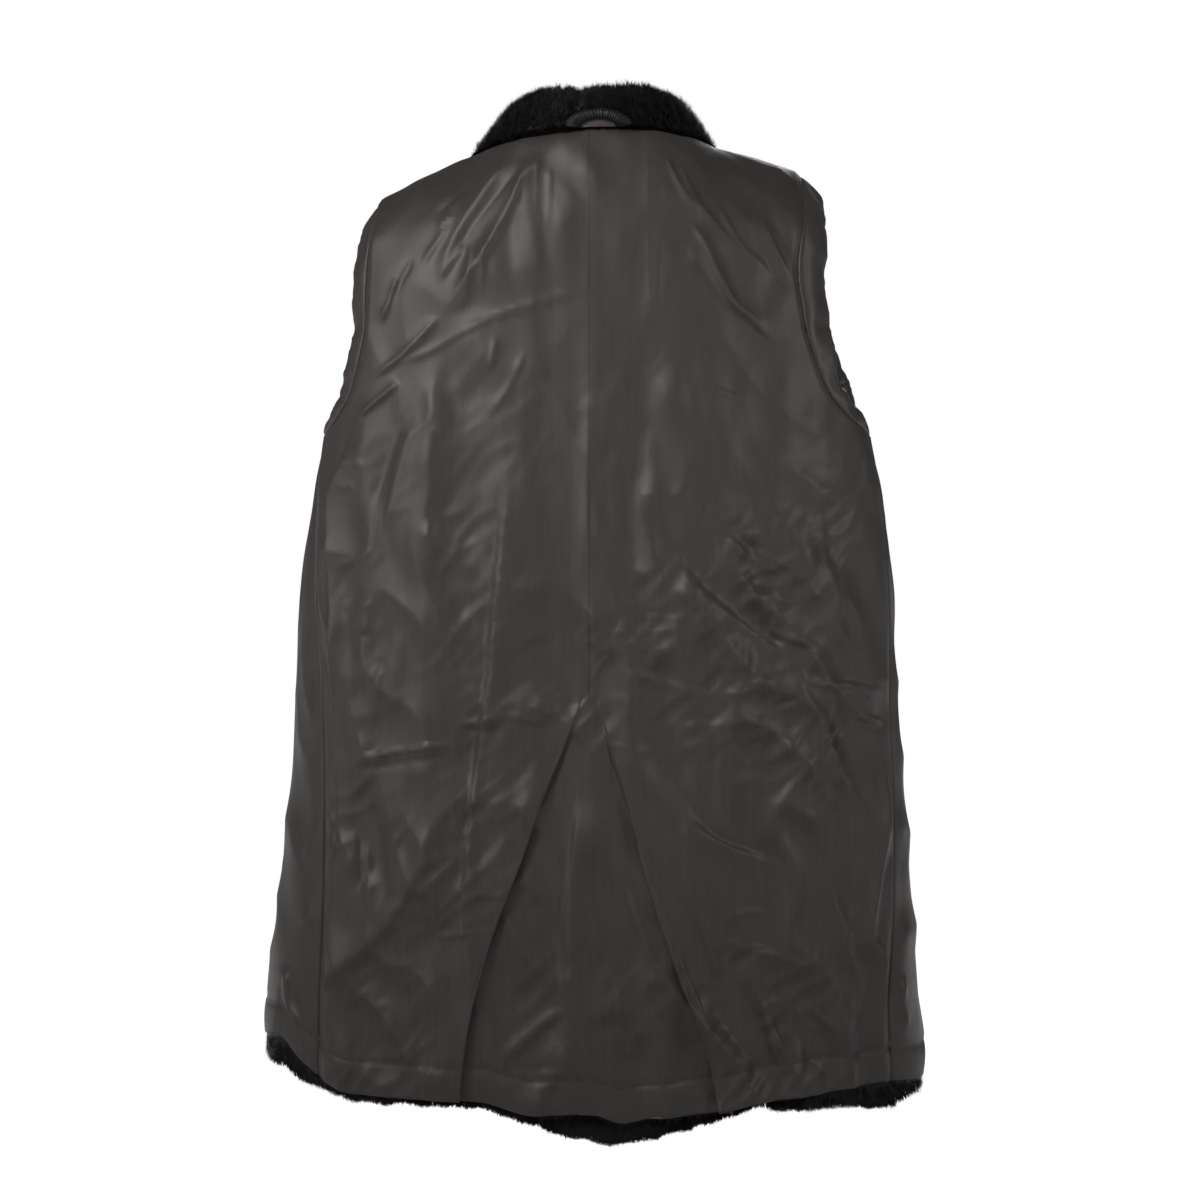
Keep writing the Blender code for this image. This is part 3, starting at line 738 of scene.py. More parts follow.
def add_uv(made: bpy.types.Object, places: Array) -> None:
    """Gives a mesh one UV place for each vertex.

    Args:
        made: The object.
        places: The places, in metres along the cloth.
    """
    mesh = made.data
    corners = np.zeros(len(mesh.loops), np.int64)
    mesh.loops.foreach_get("vertex_index", corners)
    layer = mesh.uv_layers.new(name="cloth")
    layer.data.foreach_set("uv", places[corners].astype(np.float32).ravel())


def add_values(made: bpy.types.Object, name: str, values: Array) -> None:
    """Gives a mesh one number for each vertex, which its material can read."""
    attribute = made.data.attributes.new(name, "FLOAT", "POINT")
    attribute.data.foreach_set("value", values.astype(np.float32))


@dataclass
class Shell:
    """A closed thin sheet: a fine outer face over a coarser inner one, joined at its edges."""

    outer: Array
    inner: Array
    ring: bool = False
    stride: int = 3
    keep: tuple[int, ...] = ()

    def thinned(self, count: int, keep: tuple[int, ...] = ()) -> list[int]:
        """Every few of a count of rows or columns, with both ends and those to keep."""
        return sorted({*range(0, count, self.stride), count - 1, *keep})

    def faces(self) -> tuple[Array, Faces, Array]:
        """Vertices and faces of the sheet.

        Returns:
            The vertices, the faces, and the grid number of each vertex.
        """
        rows, columns = self.outer.shape[:2]
        row_picks = self.thinned(rows)
        if self.ring:
            column_picks = list(range(0, columns, self.stride))
        else:
            column_picks = self.thinned(columns, self.keep)
        numbers = np.arange(rows * columns).reshape(rows, columns)
        picked = numbers[np.ix_(row_picks, column_picks)]
        fine = numbers
        coarse = rows * columns + np.arange(picked.size).reshape(picked.shape)
        column_at, picks_at = list(range(columns)), list(column_picks)
        if self.ring:
            fine, coarse = wrap(fine), wrap(coarse)
            column_at.append(columns)
            picks_at.append(columns)
        faces = quads(fine) + quads(coarse)
        for end in (0, -1):
            faces += zip_edges(fine[end].tolist(), coarse[end].tolist(), column_at, picks_at)
        if not self.ring:
            for end in (0, -1):
                down = (fine[:, end].tolist(), coarse[:, end].tolist())
                faces += zip_edges(*down, list(range(rows)), row_picks)
        shared = np.concatenate((numbers.ravel(), picked.ravel()))
        inner = self.inner.reshape(-1, 3)[picked.ravel()]
        return np.concatenate((self.outer.reshape(-1, 3), inner)), faces, shared

    def build(self, name: str, values: dict[str, Array] | None = None) -> bpy.types.Object:
        """Makes the object, with its UV map in metres.

        Args:
            name: The object's name.
            values: Grids of numbers that the material reads, by name.

        Returns:
            The object.
        """
        points, faces, numbers = self.faces()
        made = make_object(name, points, faces)
        across = np.linalg.norm(np.diff(self.outer, axis=1, prepend=self.outer[:, :1]), axis=-1)
        down = np.linalg.norm(np.diff(self.outer, axis=0, prepend=self.outer[:1]), axis=-1)
        u = np.cumsum(across.mean(axis=0))
        v = np.cumsum(down.mean(axis=1))
        places = np.stack(np.meshgrid(u, v), axis=-1).reshape(-1, 2)
        add_uv(made, places[numbers])
        for key, grid in (values or {}).items():
            add_values(made, key, grid.ravel()[numbers])
        return made


# ---------------------------------------------------------------- creases
@dataclass(frozen=True)
class Crease:
    """A soft ridge, or a trough where its height is below zero, drawn on the cloth."""

    path: tuple[tuple[float, float], ...]
    height: float
    width: float
    other: float
    widths_out: float = 3.5
    fade_in: float = 0.2
    fade_out: float = 0.3
    narrow: float = 6.0
    narrow_tip: float = 0.12
    broad_tip: float = 0.32
    fall: float = 1.7

    def line(self, steps: int = 24) -> Array:
        """Points of a smooth line through the path.

        Args:
            steps: How many points there are.

        Returns:
            Rows of x and z, in metres.
        """
        knots = np.array(self.path, float) * MM
        along = np.concatenate(([0.0], np.cumsum(np.linalg.norm(np.diff(knots, axis=0), axis=1))))
        table = Table("at x z", *zip(along, knots[:, 0], knots[:, 1]))
        at = np.linspace(0.0, along[-1], steps)
        return np.stack((table.read("x", at), table.read("z", at)), axis=-1)

    def heights(
        self, x: Array, z: Array, height_gain: float, width_gain: float
    ) -> Array:
        """Heights that the crease gives to points of the cloth.

        Args:
            x: Where the points are across the body.
            z: How high they are.
            height_gain: What the crease's height is multiplied by.
            width_gain: What the width of its broader side is multiplied by.

        Returns:
            The heights in metres, 0 far from the crease.
        """
        found = np.zeros_like(x)
        line = self.line()
        gains = (1.0, width_gain) if self.width <= self.other else (width_gain, 1.0)
        width = self.width * MM * gains[0]
        other = self.other * MM * gains[1]
        reach = self.widths_out * max(width, other)
        near = (
            (x > line[:, 0].min() - reach)
            & (x < line[:, 0].max() + reach)
            & (z > line[:, 1].min() - reach)
            & (z < line[:, 1].max() + reach)
        )
        if not near.any():
            return found
        points = np.stack((x[near], z[near]), axis=-1)
        starts = line[:-1]
        runs = line[1:] - starts
        offset = points[:, None] - starts
        t = np.clip((offset * runs).sum(-1) / np.maximum((runs * runs).sum(-1), 1e-12), 0, 1)
        gap = offset - runs * t[..., None]
        distance = np.linalg.norm(gap, axis=-1)
        best = distance.argmin(axis=1)
        pick = np.arange(len(points))
        away = distance[pick, best]
        turned = runs[best, 0] * gap[pick, best, 1] - runs[best, 1] * gap[pick, best, 0]
        along = (best + t[pick, best]) / len(runs)
        scaled = np.where(turned > 0, away / width, away / other)
        taper = smooth(along / self.fade_in) * smooth((1 - along) / self.fade_out)
        soft = self.narrow_tip if max(self.width, self.other) < self.narrow else self.broad_tip
        profile = np.exp(-self.fall * (np.sqrt(scaled * scaled + soft * soft) - soft))
        found[near] = self.height * MM * height_gain * taper * profile
        return found


@dataclass(frozen=True)
class CreaseField:
    """All creases of the lining, with the faint unevenness of cloth between them.

    The unevenness is noise, with its cells to the metre along x, y and z: flutes that hang from
    the shoulders 67 and 29 mm apart, and slanting facets 62 and 38 mm apart.
    """

    back: tuple[Crease, ...]
    front: tuple[Crease, ...]
    height_gain: float = 2.2
    width_gain: float = 1.8
    deepest: float = 0.0012
    turn_depth: float = 0.04
    calm_x: float = 0.24
    calm_over: float = 0.07
    calmed: float = 0.85
    drape: float = 0.0078
    broad_flutes: Triple = (15.0, 9.0, 1.7)
    fine_flutes: Triple = (34.0, 20.0, 3.1)
    flute_top: float = -0.10
    flute_full: float = 0.45
    facets: float = 0.0052
    broad_facets: Triple = (16.0, 16.0, 9.0)
    fine_facets: Triple = (26.0, 26.0, 40.0)
    facet_patches: Triple = (7.0, 7.0, 6.0)
    facet_top: float = -0.28
    facet_full: float = 0.25
    sharpness: float = 3.2

    def heights(self, points: Array) -> Array:
        """How far the cloth stands out at points of the body surface.

        Args:
            points: A grid of points.

        Returns:
            The heights in metres, by row and column.
        """
        x, y, z = points[..., 0], points[..., 1], points[..., 2]
        behind = smooth(0.5 - y / self.turn_depth)
        total = np.zeros_like(x)
        for group, share in ((self.back, behind), (self.front, 1 - behind)):
            if share.max() <= 0:
                continue
            for crease in group:
                total += share * crease.heights(x, z, self.height_gain, self.width_gain)
        calm = 1 - self.calmed * smooth((np.abs(x) - self.calm_x) / self.calm_over)
        total += self.fluting(points, calm)
        total += self.faceting(points, behind, calm)
        return np.where(total < 0, self.deepest * np.tanh(total / self.deepest), total)

    def fluting(self, points: Array, calm: Array) -> Array:
        """The long soft drapes that hang from the shoulders.

        Args:
            points: A grid of points.
            calm: The share that is left of them towards the sides.

        Returns:
            Their heights.
        """
        fall = 0.35 + 0.65 * smooth((self.flute_top - points[..., 2]) / self.flute_full)
        flutes = waves(points, self.broad_flutes, 4.1) + 0.5 * waves(points, self.fine_flutes, 12.9)
        return self.drape * fall * calm * (0.66 + flutes)

    def faceting(self, points: Array, behind: Array, calm: Array) -> Array:
        """The small slanting facets between the drapes, most of them low down on the right.

        Args:
            points: A grid of points.
            behind: 1 where a point is on the back, 0 in front.
            calm: The share that is left of them towards the sides.

        Returns:
            Their heights.
        """
        x, z = points[..., 0], points[..., 2]
        slanted = points + 0.45 * z[..., None] * (1, 0, 0)
        broad = 1 - self.sharpness * np.abs(waves(slanted, self.broad_facets, 9.7))
        crossed = points - 0.8 * x[..., None] * (0, 0, 1)
        fine = 1 - self.sharpness * np.abs(waves(crossed, self.fine_facets, 21.3))
        patchy = smooth(0.5 + 1.6 * waves(points, self.facet_patches, 33.1))
        lower = smooth((self.facet_top - z) / self.facet_full) * (0.55 + 0.45 * smooth(x / 0.1))
        share = (0.16 + 0.84 * lower) * (0.40 + 0.60 * behind) * (0.3 + 0.7 * calm)
        return self.facets * (1.3 * broad + 0.4 * fine * patchy) * share


def lowest_near(heights: Array, reach: int = 2) -> Array:
    """The lowest height among the neighbours of each place of a grid.

    Args:
        heights: The grid.
        reach: How many places away a neighbour can be.

    Returns:
        The lowest heights.
    """
    padded = np.pad(heights, reach, mode="edge")
    rows, columns = heights.shape
    found = heights
    for down in range(2 * reach + 1):
        for across in range(2 * reach + 1):
            found = np.minimum(found, padded[down : down + rows, across : across + columns])
    return found


def creases(*rows: tuple[float, ...]) -> tuple[Crease, ...]:
    """Creases from rows of numbers: height, both widths, then x and z of each point, in mm."""
    return tuple(Crease(tuple(zip(row[3::2], row[4::2])), *row[:3]) for row in rows)


# Each row is the height and the widths of the two flanks, the first on the left of the way the
# crease runs, and then its path, all in millimetres across and up from the origin.
BACK_CREASES = creases(
    # shoulder left
    (2.5, 6, 6, -56, -11, -103, -99, -163, -195),
    (2, 6, 6, -91, -20, -136, -84, -171, -154),
    (-1, 5, 5, -75, -29, -121, -80, -155, -130),
    (0.7, 2, 2, -48, -29, -51, -105),
    (-0.9, 2.5, 2.5, -133, -42, -173, -84),
    (1, 3, 3, -150, -78, -169, -97),
    (1.3, 3, 3, -155, -92, -185, -135),
    (1.5, 3, 3, -137, -113, -167, -152),
    (-1.2, 4, 4, -193, -126, -226, -185),
    (2.2, 3, 4, -209, -145, -228, -200),
    (1.5, 4, 4, -131, -111, -135, -166, -152, -190),
    (1, 4, 4, -114, -109, -121, -166),
    (0.9, 2.5, 4, -6, -164, -71, -185, -136, -209, -178, -231, -233, -249),
    (2, 4, 5, -161, -194, -206, -234, -241, -259),
    (2.2, 4, 5, -205, -261, -230, -280, -256, -302),
    (0.8, 3, 3, -103, -215, -110, -253),
    (1, 3, 3, -71, -228, -89, -268, -116, -304),
    (2, 9, 9, -171, -253, -173, -367, -169, -475),
    # left mid
    (-1.4, 7, 7, -200, -293, -220, -349, -238, -416),
    (1.6, 8, 5, -184, -288, -207, -357, -222, -431),
    (3.4, 9, 3, -259, -303, -264, -333, -286, -388, -283, -475, -281, -538, -281, -616, -278, -662),
    (2, 4, 3, -288, -421, -302, -482, -307, -526),
    (1, 3, 3, -274, -349, -258, -345, -241, -351),
    (0.8, 3, 3, -272, -375, -263, -370, -254, -375),
    (1, 2.5, 3, -277, -459, -251, -449, -230, -436),
    (0.9, 2, 3, -274, -500, -253, -497, -230, -500),
    (-0.8, 2.5, 2.5, -254, -531, -243, -532, -233, -526),
    (2.6, 12, 3, -85, -333, -91, -360, -99, -446, -105, -508, -111, -590, -121, -654, -129, -741,
     -140, -887),
    (0.8, 2.5, 2.5, -138, -436, -159, -467, -162, -495),
    (1.2, 5, 5, -138, -520, -154, -547, -169, -569),
    (1.6, 5, 8, -225, -560, -229, -600, -238, -639),
    (1.8, 2.5, 4, -254, -664, -210, -654, -171, -648, -131, -644),
    (-0.8, 3, 3, -258, -676, -205, -667, -131, -655),
    (1, 2.5, 3, -149, -626, -117, -621, -82, -616, -43, -628),
    (-0.7, 2, 2, -144, -628, -117, -632, -89, -631),
    (0.6, 2, 2, -79, -572, -59, -574, -41, -580),
    (-0.8, 2, 2, -56, -597, -47, -595, -36, -590),
    # left low
    (-0.9, 2, 2, -278, -668, -275, -721, -272, -773),
    (-0.8, 2, 2, -251, -720, -247, -779, -241, -838),
    (1, 4, 3, -245, -718, -239, -779, -233, -832),
    (3.8, 14, 20, -149, -695, -177, -770, -224, -845, -290, -901, -323, -920),
    (1.3, 4, 4, -279, -718, -298, -751, -316, -780),
    (1.3, 4, 4, -281, -817, -298, -830, -314, -848),
    (0.9, 4, 4, -268, -748, -292, -790, -311, -816),
    (0.7, 2, 2, -136, -805, -110, -803, -85, -803),
    (0.9, 2, 2, -169, -848, -122, -842, -92, -838),
    (1.5, 3, 4, -323, -922, -308, -910, -292, -902),
    (3, 4, 4, -331, -890, -329, -922, -311, -959),
    # centre low
    (2.2, 11, 2, -14, -690, -25, -780, -31, -860, -32, -1028),
    (-1.0, 4, 4, 20, -770, 40, -840, 62, -905, 84, -980),
    (1.8, 3, 6, 34, -790, 58, -870, 76, -950, 92, -1020),
    (1.3, 4, 4, 8, -880, 14, -942),
    (1.4, 4, 4, 19, -942, 33, -961, 47, -977),
    (2.5, 3, 6, -32, -922, -68, -954, -99, -984),
    (-1, 3, 3, -30, -788, -32, -863, -32, -925),
    (1.2, 4, 3, -23, -788, -24, -863, -23, -927),
    (-1.2, 3, 3, -27, -938, -20, -990, -7, -1034),
    (2.2, 3, 7, -39, -982, -49, -1012, -59, -1036),
    (-0.8, 2, 2, -99, -990, -68, -984, -39, -982),
    (0.7, 2, 2, -5, -641, 33, -648, 71, -658),
    (2.4, 5, 4, 104, -805, 121, -859, 138, -913, 154, -949, 171, -977),
    (-0.9, 4, 4, 95, -811, 112, -864, 128, -917),
    (2.2, 2, 14, 100, -718, 113, -736, 144, -754, 175, -764, 208, -788),
    (1, 2.5, 3, 133, -830, 164, -822, 193, -827),
    (1.5, 2.5, 7, 138, -852, 170, -861, 203, -872, 234, -885),
    (1.6, 4, 8, 214, -915, 239, -936, 263, -957),
    # right upper
    (1.5, 3, 3, 76, -18, 97, -60, 118, -90),
    (1.5, 4, 4, 93, -25, 106, -62, 136, -99, 175, -140),
    (3.4, 8, 3, 101, -90, 115, -113, 131, -147, 149, -182, 160, -193, 201, -226),
    (-1.2, 5, 5, 99, -113, 121, -150, 144, -190),
    (1.4, 4, 4, 132, -70, 162, -118, 197, -148),
    (-1.2, 5, 5, 168, -83, 190, -136, 211, -165),
    (1.5, 4, 4, 180, -83, 195, -119, 209, -148),
    (-0.9, 3, 3, 190, -76, 205, -103, 214, -124),
    (0.8, 3, 3, 123, -267, 149, -277, 171, -284),
    # right mid
    (0.5, 2, 6, 27, -509, 86, -512, 141, -511),
    (0.5, 6, 2, 2, -531, 59, -529, 107, -528),
    (2.4, 2, 14, 85, -431, 107, -477, 143, -508, 177, -533, 209, -556, 236, -567),
    (-1.1, 4, 4, 141, -416, 164, -436, 189, -443),
    (1.4, 3, 5, 135, -424, 164, -447, 202, -468),
    (1.6, 3, 4, 164, -436, 220, -470, 230, -488, 254, -491),
    (-0.9, 2.5, 2.5, 189, -490, 207, -494, 227, -501),
    (-0.8, 2.5, 2.5, 195, -513, 205, -515, 215, -514),
    (-1.2, 2.5, 2.5, 186, -532, 210, -543, 236, -551),
    (1.2, 3, 3, 186, -525, 212, -536, 241, -545),
    (2.2, 3, 5, 209, -564, 230, -580, 271, -585, 315, -593),
    (-0.8, 2.5, 2.5, 218, -570, 249, -584, 292, -593),
    (1, 2.5, 2.5, 268, -589, 286, -594, 304, -600),
    (-1.3, 3, 3, 281, -623, 298, -629, 315, -636),
    (1.4, 3, 3, 279, -617, 298, -622, 316, -628),
    (1.3, 2, 12, 27, -564, 76, -580, 125, -595),
    (1.2, 3, 10, 137, -593, 169, -582, 195, -575),
    (-1, 3, 3, 161, -625, 184, -608, 220, -592),
    (1.3, 3, 5, 161, -631, 186, -615, 223, -598),
    (0.9, 2, 9, 81, -625, 128, -623, 143, -648, 161, -664, 182, -666),
    (-0.9, 3, 3, 97, -695, 108, -720, 144, -749, 177, -764, 209, -790),
    (1.3, 7, 7, 239, -388, 247, -452, 265, -515),
    (1.4, 8, 8, 218, -600, 239, -663, 271, -705),
    (1.4, 10, 10, 59, -304, 64, -409, 57, -494),
    (1.2, 7, 7, -4, -248, -6, -367, -4, -482),
    (1.4, 5, 4, 139, -404, 160, -480, 159, -552, 142, -634),
    (1.2, 4, 5, 95, -690, 100, -760, 105, -865),
    (1.3, 6, 5, 190, -560, 222, -600, 236, -640, 200, -700, 176, -752),
    (2.2, 4, 9, 280, -815, 268, -860, 286, -905, 270, -950, 279, -1000),
    (1.3, 6, 4, 250, -800, 262, -850, 257, -900),
    (1.6, 4, 7, 206, -900, 224, -940, 254, -962),
    (1.1, 4, 4, 64, -590, 78, -660, 84, -700),
    (1.8, 5, 3, 112, -930, 120, -975, 139, -1010),
    (1.6, 7, 3, 176, -905, 182, -950, 205, -1005),
    # right side strip
    (2.4, 4, 9, 317, -637, 318, -705, 309, -792, 296, -854, 313, -880, 318, -917, 311, -997),
    (-1.2, 3, 3, 323, -766, 326, -801),
    (-1.2, 3, 3, 325, -835, 331, -860),
    (1.5, 4, 4, 336, -901, 332, -927, 339, -959),
    (-1, 3, 3, 327, -917, 323, -949, 329, -980),
)
FRONT_CREASES = creases(
    # left front: long drapes from the shoulder and the bust
    (2.4, 9, 6, -70, -60, -84, -210, -80, -420, -92, -640),
    (2.0, 6, 7, -120, -40, -142, -180, -150, -330),
    (1.6, 4, 6, -168, -70, -192, -150, -205, -240),
    (2.8, 10, 8, -60, -380, -74, -560, -70, -780, -88, -980),
    (3.0, 9, 11, -150, -340, -158, -520, -176, -760, -170, -960),
    (2.2, 8, 6, -220, -330, -236, -480, -230, -640),
    (2.6, 8, 10, -250, -520, -268, -720, -262, -930),
    (-1.4, 7, 7, -205, -640, -214, -800, -232, -1000),
    (-1.2, 6, 6, -110, -700, -118, -860, -112, -1000),
    (1.6, 4, 3, -196, -262, -168, -290, -128, -306),
    (1.2, 3, 4, -212, -300, -180, -326, -140, -334),
    (1.0, 3, 4, -24, -300, -52, -312, -92, -330),
    (1.1, 3, 3, -262, -420, -232, -436, -196, -440),
    (1.2, 3, 4, -20, -620, -60, -640, -108, -632),
    # right front: fewer and broader, with one pull towards the armhole
    (2.6, 8, 9, 66, -70, 88, -200, 98, -380, 90, -560),
    (1.8, 5, 6, 118, -50, 146, -150, 158, -300),
    (1.4, 4, 5, 176, -80, 194, -170, 200, -260),
    (2.4, 10, 8, 48, -470, 62, -660, 58, -860, 70, -1010),
    (3.2, 11, 9, 132, -420, 150, -600, 144, -790, 162, -980),
    (2.0, 7, 7, 206, -360, 226, -520, 222, -700),
    (2.8, 8, 10, 238, -560, 258, -740, 250, -960),
    (-1.3, 7, 7, 186, -720, 196, -860, 208, -1000),
    (-1.3, 6, 6, 96, -640, 104, -820, 98, -990),
    (2.0, 4, 4, 204, -250, 168, -282, 116, -312),
    (1.2, 3, 4, 218, -296, 190, -322, 148, -330),
    (1.0, 3, 3, 26, -420, 64, -432, 104, -424),
    (1.2, 4, 3, 270, -450, 236, -470, 190, -468),
    (1.1, 3, 3, 24, -760, 58, -776, 96, -770),
)


# ---------------------------------------------------------------- lining
# How far the two outermost lines of a panel are drawn in, so that its seams read as valleys.
EDGE_DIPS = (0.0008, 0.00015)
STITCHES_ABOVE_HEM = 0.036
# The centre-back seam ends here, where the pleat begins to open.
SEAM_FOOT_Z = -0.600


@dataclass(frozen=True)
class PleatForm:
    """Section through a folded edge of the back's inverted pleat."""

    layer: float = 0.0032
    turn: float = 0.0020
    spread: float = 0.045
    step: float = 0.0024
    outer_margin: float = 0.0034
    inner_margin: float = 0.0025
    flat_z: float = SEAM_FOOT_Z
    flat_over: float = 0.10
    starts_z: float = -0.700
    full_z: float = -0.740

    def section(self, z: float) -> tuple[Array, Array]:
        """Reach outwards from the edge and height of each point, from the outside to the middle.

        Args:
            z: The height on the body.

        Returns:
            The reaches and the heights, in metres.
        """
        top = float(PLEAT.read("height", z))
        tuck = float(PLEAT.read("tuck", z))
        r = self.layer / 2
        roll = np.radians((60, 25, -10, -45, -90))
        low = max((top - self.layer) / 2, 1e-4)
        back = tuck + self.turn
        bend = np.radians((60, 0, -60))
        reach = (0.0024, r, *(r - r * np.cos(roll)), 0.6 * tuck + self.turn)
        reach += (*(back + self.turn * np.cos(bend)), back, 0.5 * tuck, 0.0005)
        height = (top, top - 0.05 * self.layer, *(top - r + r * np.sin(roll)), top - self.layer)
        height += (*(low + low * np.sin(bend)), 0.0, 0.0, 0.0)
        folded = np.array((reach, height))
        t = np.linspace(0, 1, len(reach))
        step = np.array((self.step * (1 - 2 * t), top * smooth(1 - t)))
        share = float(smooth((self.starts_z - z) / (self.starts_z - self.full_z)))
        mixed = step + (folded - step) * share
        return mixed[0], mixed[1]


@dataclass(frozen=True)
class HemLine:
    """The lining's hem: a line of stitches above it, and a soft roll below them."""

    stitches: float = STITCHES_ABOVE_HEM
    valley: float = 0.0011
    valley_width: float = 0.0028
    roll: float = 0.0018

    def heights(self, above: Array) -> Array:
        """How far the cloth stands out near the hem.

        Args:
            above: How high above the hem it is.

        Returns:
            The heights.
        """
        valley = np.exp(-(((above - self.stitches) / self.valley_width) ** 2))
        roll = np.sin(np.pi * np.clip(above / self.stitches, 0, 1))
        return self.roll * roll - self.valley * valley


@dataclass
class Lining:
    """One panel of the satin lining, a closed shell laid on the body surface."""

    name: str
    body: BodyForm
    creases: CreaseField
    hem: HemLine
    plan: RowPlan
    thickness: float = 0.0006
    edge_dips: tuple[float, float] = EDGE_DIPS
    seam_fade: float = 0.060
    easings: int = 60
    chest_reach: float = 0.045
    side_columns: int = 12
    top_rows: int = 10
    chest_rows: int = 15

    def above_hem(self, points: Array) -> Array:
        """How far each point of a grid is above its column's last point."""
        return points[..., 2] - points[-1:, :, 2]

    def soft_heights(self, points: Array, from_edge: Array) -> Array:
        """Creases and hem, faded out towards the panel's seams.

        Args:
            points: The panel's grid on the body surface.
            from_edge: How far each place is from the panel's seams, as a share.

        Returns:
            The heights.
        """
        fade = smooth(from_edge / self.seam_fade)
        return self.creases.heights(points) * fade + self.hem.heights(self.above_hem(points))

    def eased(self, points: Array) -> Array:
        """Rounds the bends at the chest and the shoulders, away from the seams.

        Args:
            points: The panel's grid.

        Returns:
            The rounded grid.
        """
        columns = np.arange(points.shape[1])
        inside = smooth(np.minimum(columns, columns[::-1]) / self.side_columns)[None, :, None]
        chest = (points[..., 2:] - self.body.chest_z) / self.chest_reach
        near = np.exp(-(chest**2)) * inside
        rows = np.arange(len(points))
        above = smooth(rows / self.top_rows) * smooth((self.plan.shoulder - rows) / self.chest_rows)
        above = above[:, None, None] * inside
        for _ in range(self.easings):
            moved = points.copy()
            moved[1:-1] = (points[:-2] + 2 * points[1:-1] + points[2:]) / 4
            points = points + (moved - points) * near
            moved = points.copy()
            moved[:, 1:-1] = (points[:, :-2] + 2 * points[:, 1:-1] + points[:, 2:]) / 4
            points = points + (moved - points) * above
        return points

    def shell(
        self,
        points: Array,
        normals: Array,
        lift: Array,
        soft: Array,
        keep: tuple[int, ...] = (),
    ) -> bpy.types.Object:
        """Builds the closed shell.

        Args:
            points: The grid on the body surface, with folds laid sideways.
            normals: The body's normals.
            lift: Heights that the inner face shares in full.
            soft: Heights that the inner face only has where they are broad.
            keep: Columns that the inner face keeps.

        Returns:
            The object.
        """
        points = self.eased(points)
        soft = soft.copy()
        for index, dip in enumerate(self.edge_dips):
            soft[:, index] -= dip
            soft[:, -1 - index] -= dip
            soft[index] -= dip
        outer = points + normals * (lift + soft)[..., None]
        low = points + normals * (lift + lowest_near(soft))[..., None]
        facing = grid_normals(outer, ring=False)
        if (facing * normals).sum() < 0:
            facing = -facing
        inner = low - facing * self.thickness
        shell = Shell(outer, inner, keep=keep)
        return shell.build(self.name, {"above_hem": self.above_hem(points)})


@dataclass
class LiningBack(Lining):
    """The back of the lining, with its inverted pleat and its creases."""

    pleat: PleatForm = field(default_factory=PleatForm)
    outer_columns: int = 90
    middle_columns: int = 40

    def row(self, row: Row) -> tuple[Array, ...]:
        """One row of the back.

        Args:
            row: The row.

        Returns:
            Points with the folds laid sideways, points to read creases at, normals, heights and
            shares.
        """
        z = self.body.usual_height(row)
        left, right, top = (float(PLEAT.read(name, z)) for name in ("left", "right", "height"))
        margin = min(self.pleat.inner_margin, 0.2 * (right - left))
        outer = self.pleat.outer_margin

        def share(x: float) -> float:
            """The share of this row that lies at x."""
            return self.body.share_of(x, row, BACK)

        reach, height = self.pleat.section(z)
        flat = np.zeros(self.outer_columns)
        shares = np.concatenate(
            (
                np.linspace(-1, share(left - outer), self.outer_columns),
                np.full(len(reach), share(left)),
                np.linspace(share(left + margin), share(right - margin), self.middle_columns),
                np.full(len(reach), share(right)),
                np.linspace(share(right + outer), 1, self.outer_columns),
            )
        )
        points, normals = self.body.panel(row, shares, BACK)
        x = points[:, 0]
        middle = np.zeros(self.middle_columns)
        sideways = np.concatenate((flat, -reach, middle, reach[::-1], flat))
        away = (left - x[: self.outer_columns], x[-self.outer_columns :] - right)
        if row.kind is RowKind.SHOULDER:
            away = (flat, flat)
        crowns = [top * np.exp(-((part / self.pleat.spread) ** 2)) for part in away]
        lift = np.concatenate((crowns[0], height, middle, height[::-1], crowns[1]))
        aside = unit(np.stack((-normals[:, 1], normals[:, 0], np.zeros_like(x)), axis=-1))
        laid = points + aside * sideways[:, None]
        flat_share = 1 - float(smooth((self.pleat.flat_z - z) / self.pleat.flat_over))
        return laid, points + (laid - points) * flat_share, normals, lift, shares

    def build(self) -> bpy.types.Object:
        """Makes the back of the lining.

        Returns:
            The object.
        """
        rows = [self.row(row) for row in self.plan.rows(self.body)]
        laid, points, normals, lift, shares = (np.array(part) for part in zip(*rows))
        count = len(self.pleat.section(self.body.hem_ring_z)[0])
        second = self.outer_columns + count + self.middle_columns
        first = self.outer_columns
        keep = (*range(first - 1, first + count + 1), *range(second - 1, second + count + 1))
        soft = self.soft_heights(points, 1 - np.abs(shares))
        return self.shell(laid, normals, lift, soft, keep)


@dataclass
class LiningFront(Lining):
    """One front of the lining, from the opening round to the side seam."""

    side: int = LEFT
    columns: int = 130
    start_x: float = 0.012

    def build(self) -> bpy.types.Object:
        """Makes one front of the lining.

        Returns:
            The object.
        """
        opening = (self.side, self.start_x, self.columns)
        grid, normals, steps = front_grid(self.body, self.plan, *opening)
        from_edge = np.broadcast_to(np.minimum(steps, 1 - steps), grid.shape[:2])
        soft = self.soft_heights(grid, from_edge)
        return self.shell(grid, normals, np.zeros_like(soft), soft)


def front_grid(
    body: BodyForm, plan: RowPlan, side: int, start_x: float, columns: int, fur: bool = False
) -> tuple[Array, Array, Array]:
    """Points and normals of a front, from its opening to its outer edge.

    Args:
        body: The body surface.
        plan: The rows.
        side: LEFT or RIGHT.
        start_x: How far from the centre the opening's edge is.
        columns: How many columns there are.
        fur: Whether it ends at the fur's hem.

    Returns:
        The points, the normals and each column's place from 0 to 1.
    """
    steps = np.linspace(0, 1, columns)
    found = []
    for row in plan.rows(body):
        start = body.share_of(side * start_x, row, FRONT)
        found.append(body.panel(row, start + (side - start) * steps, FRONT, fur))
    points, normals = (np.array(part) for part in zip(*found))
    return points, normals, steps


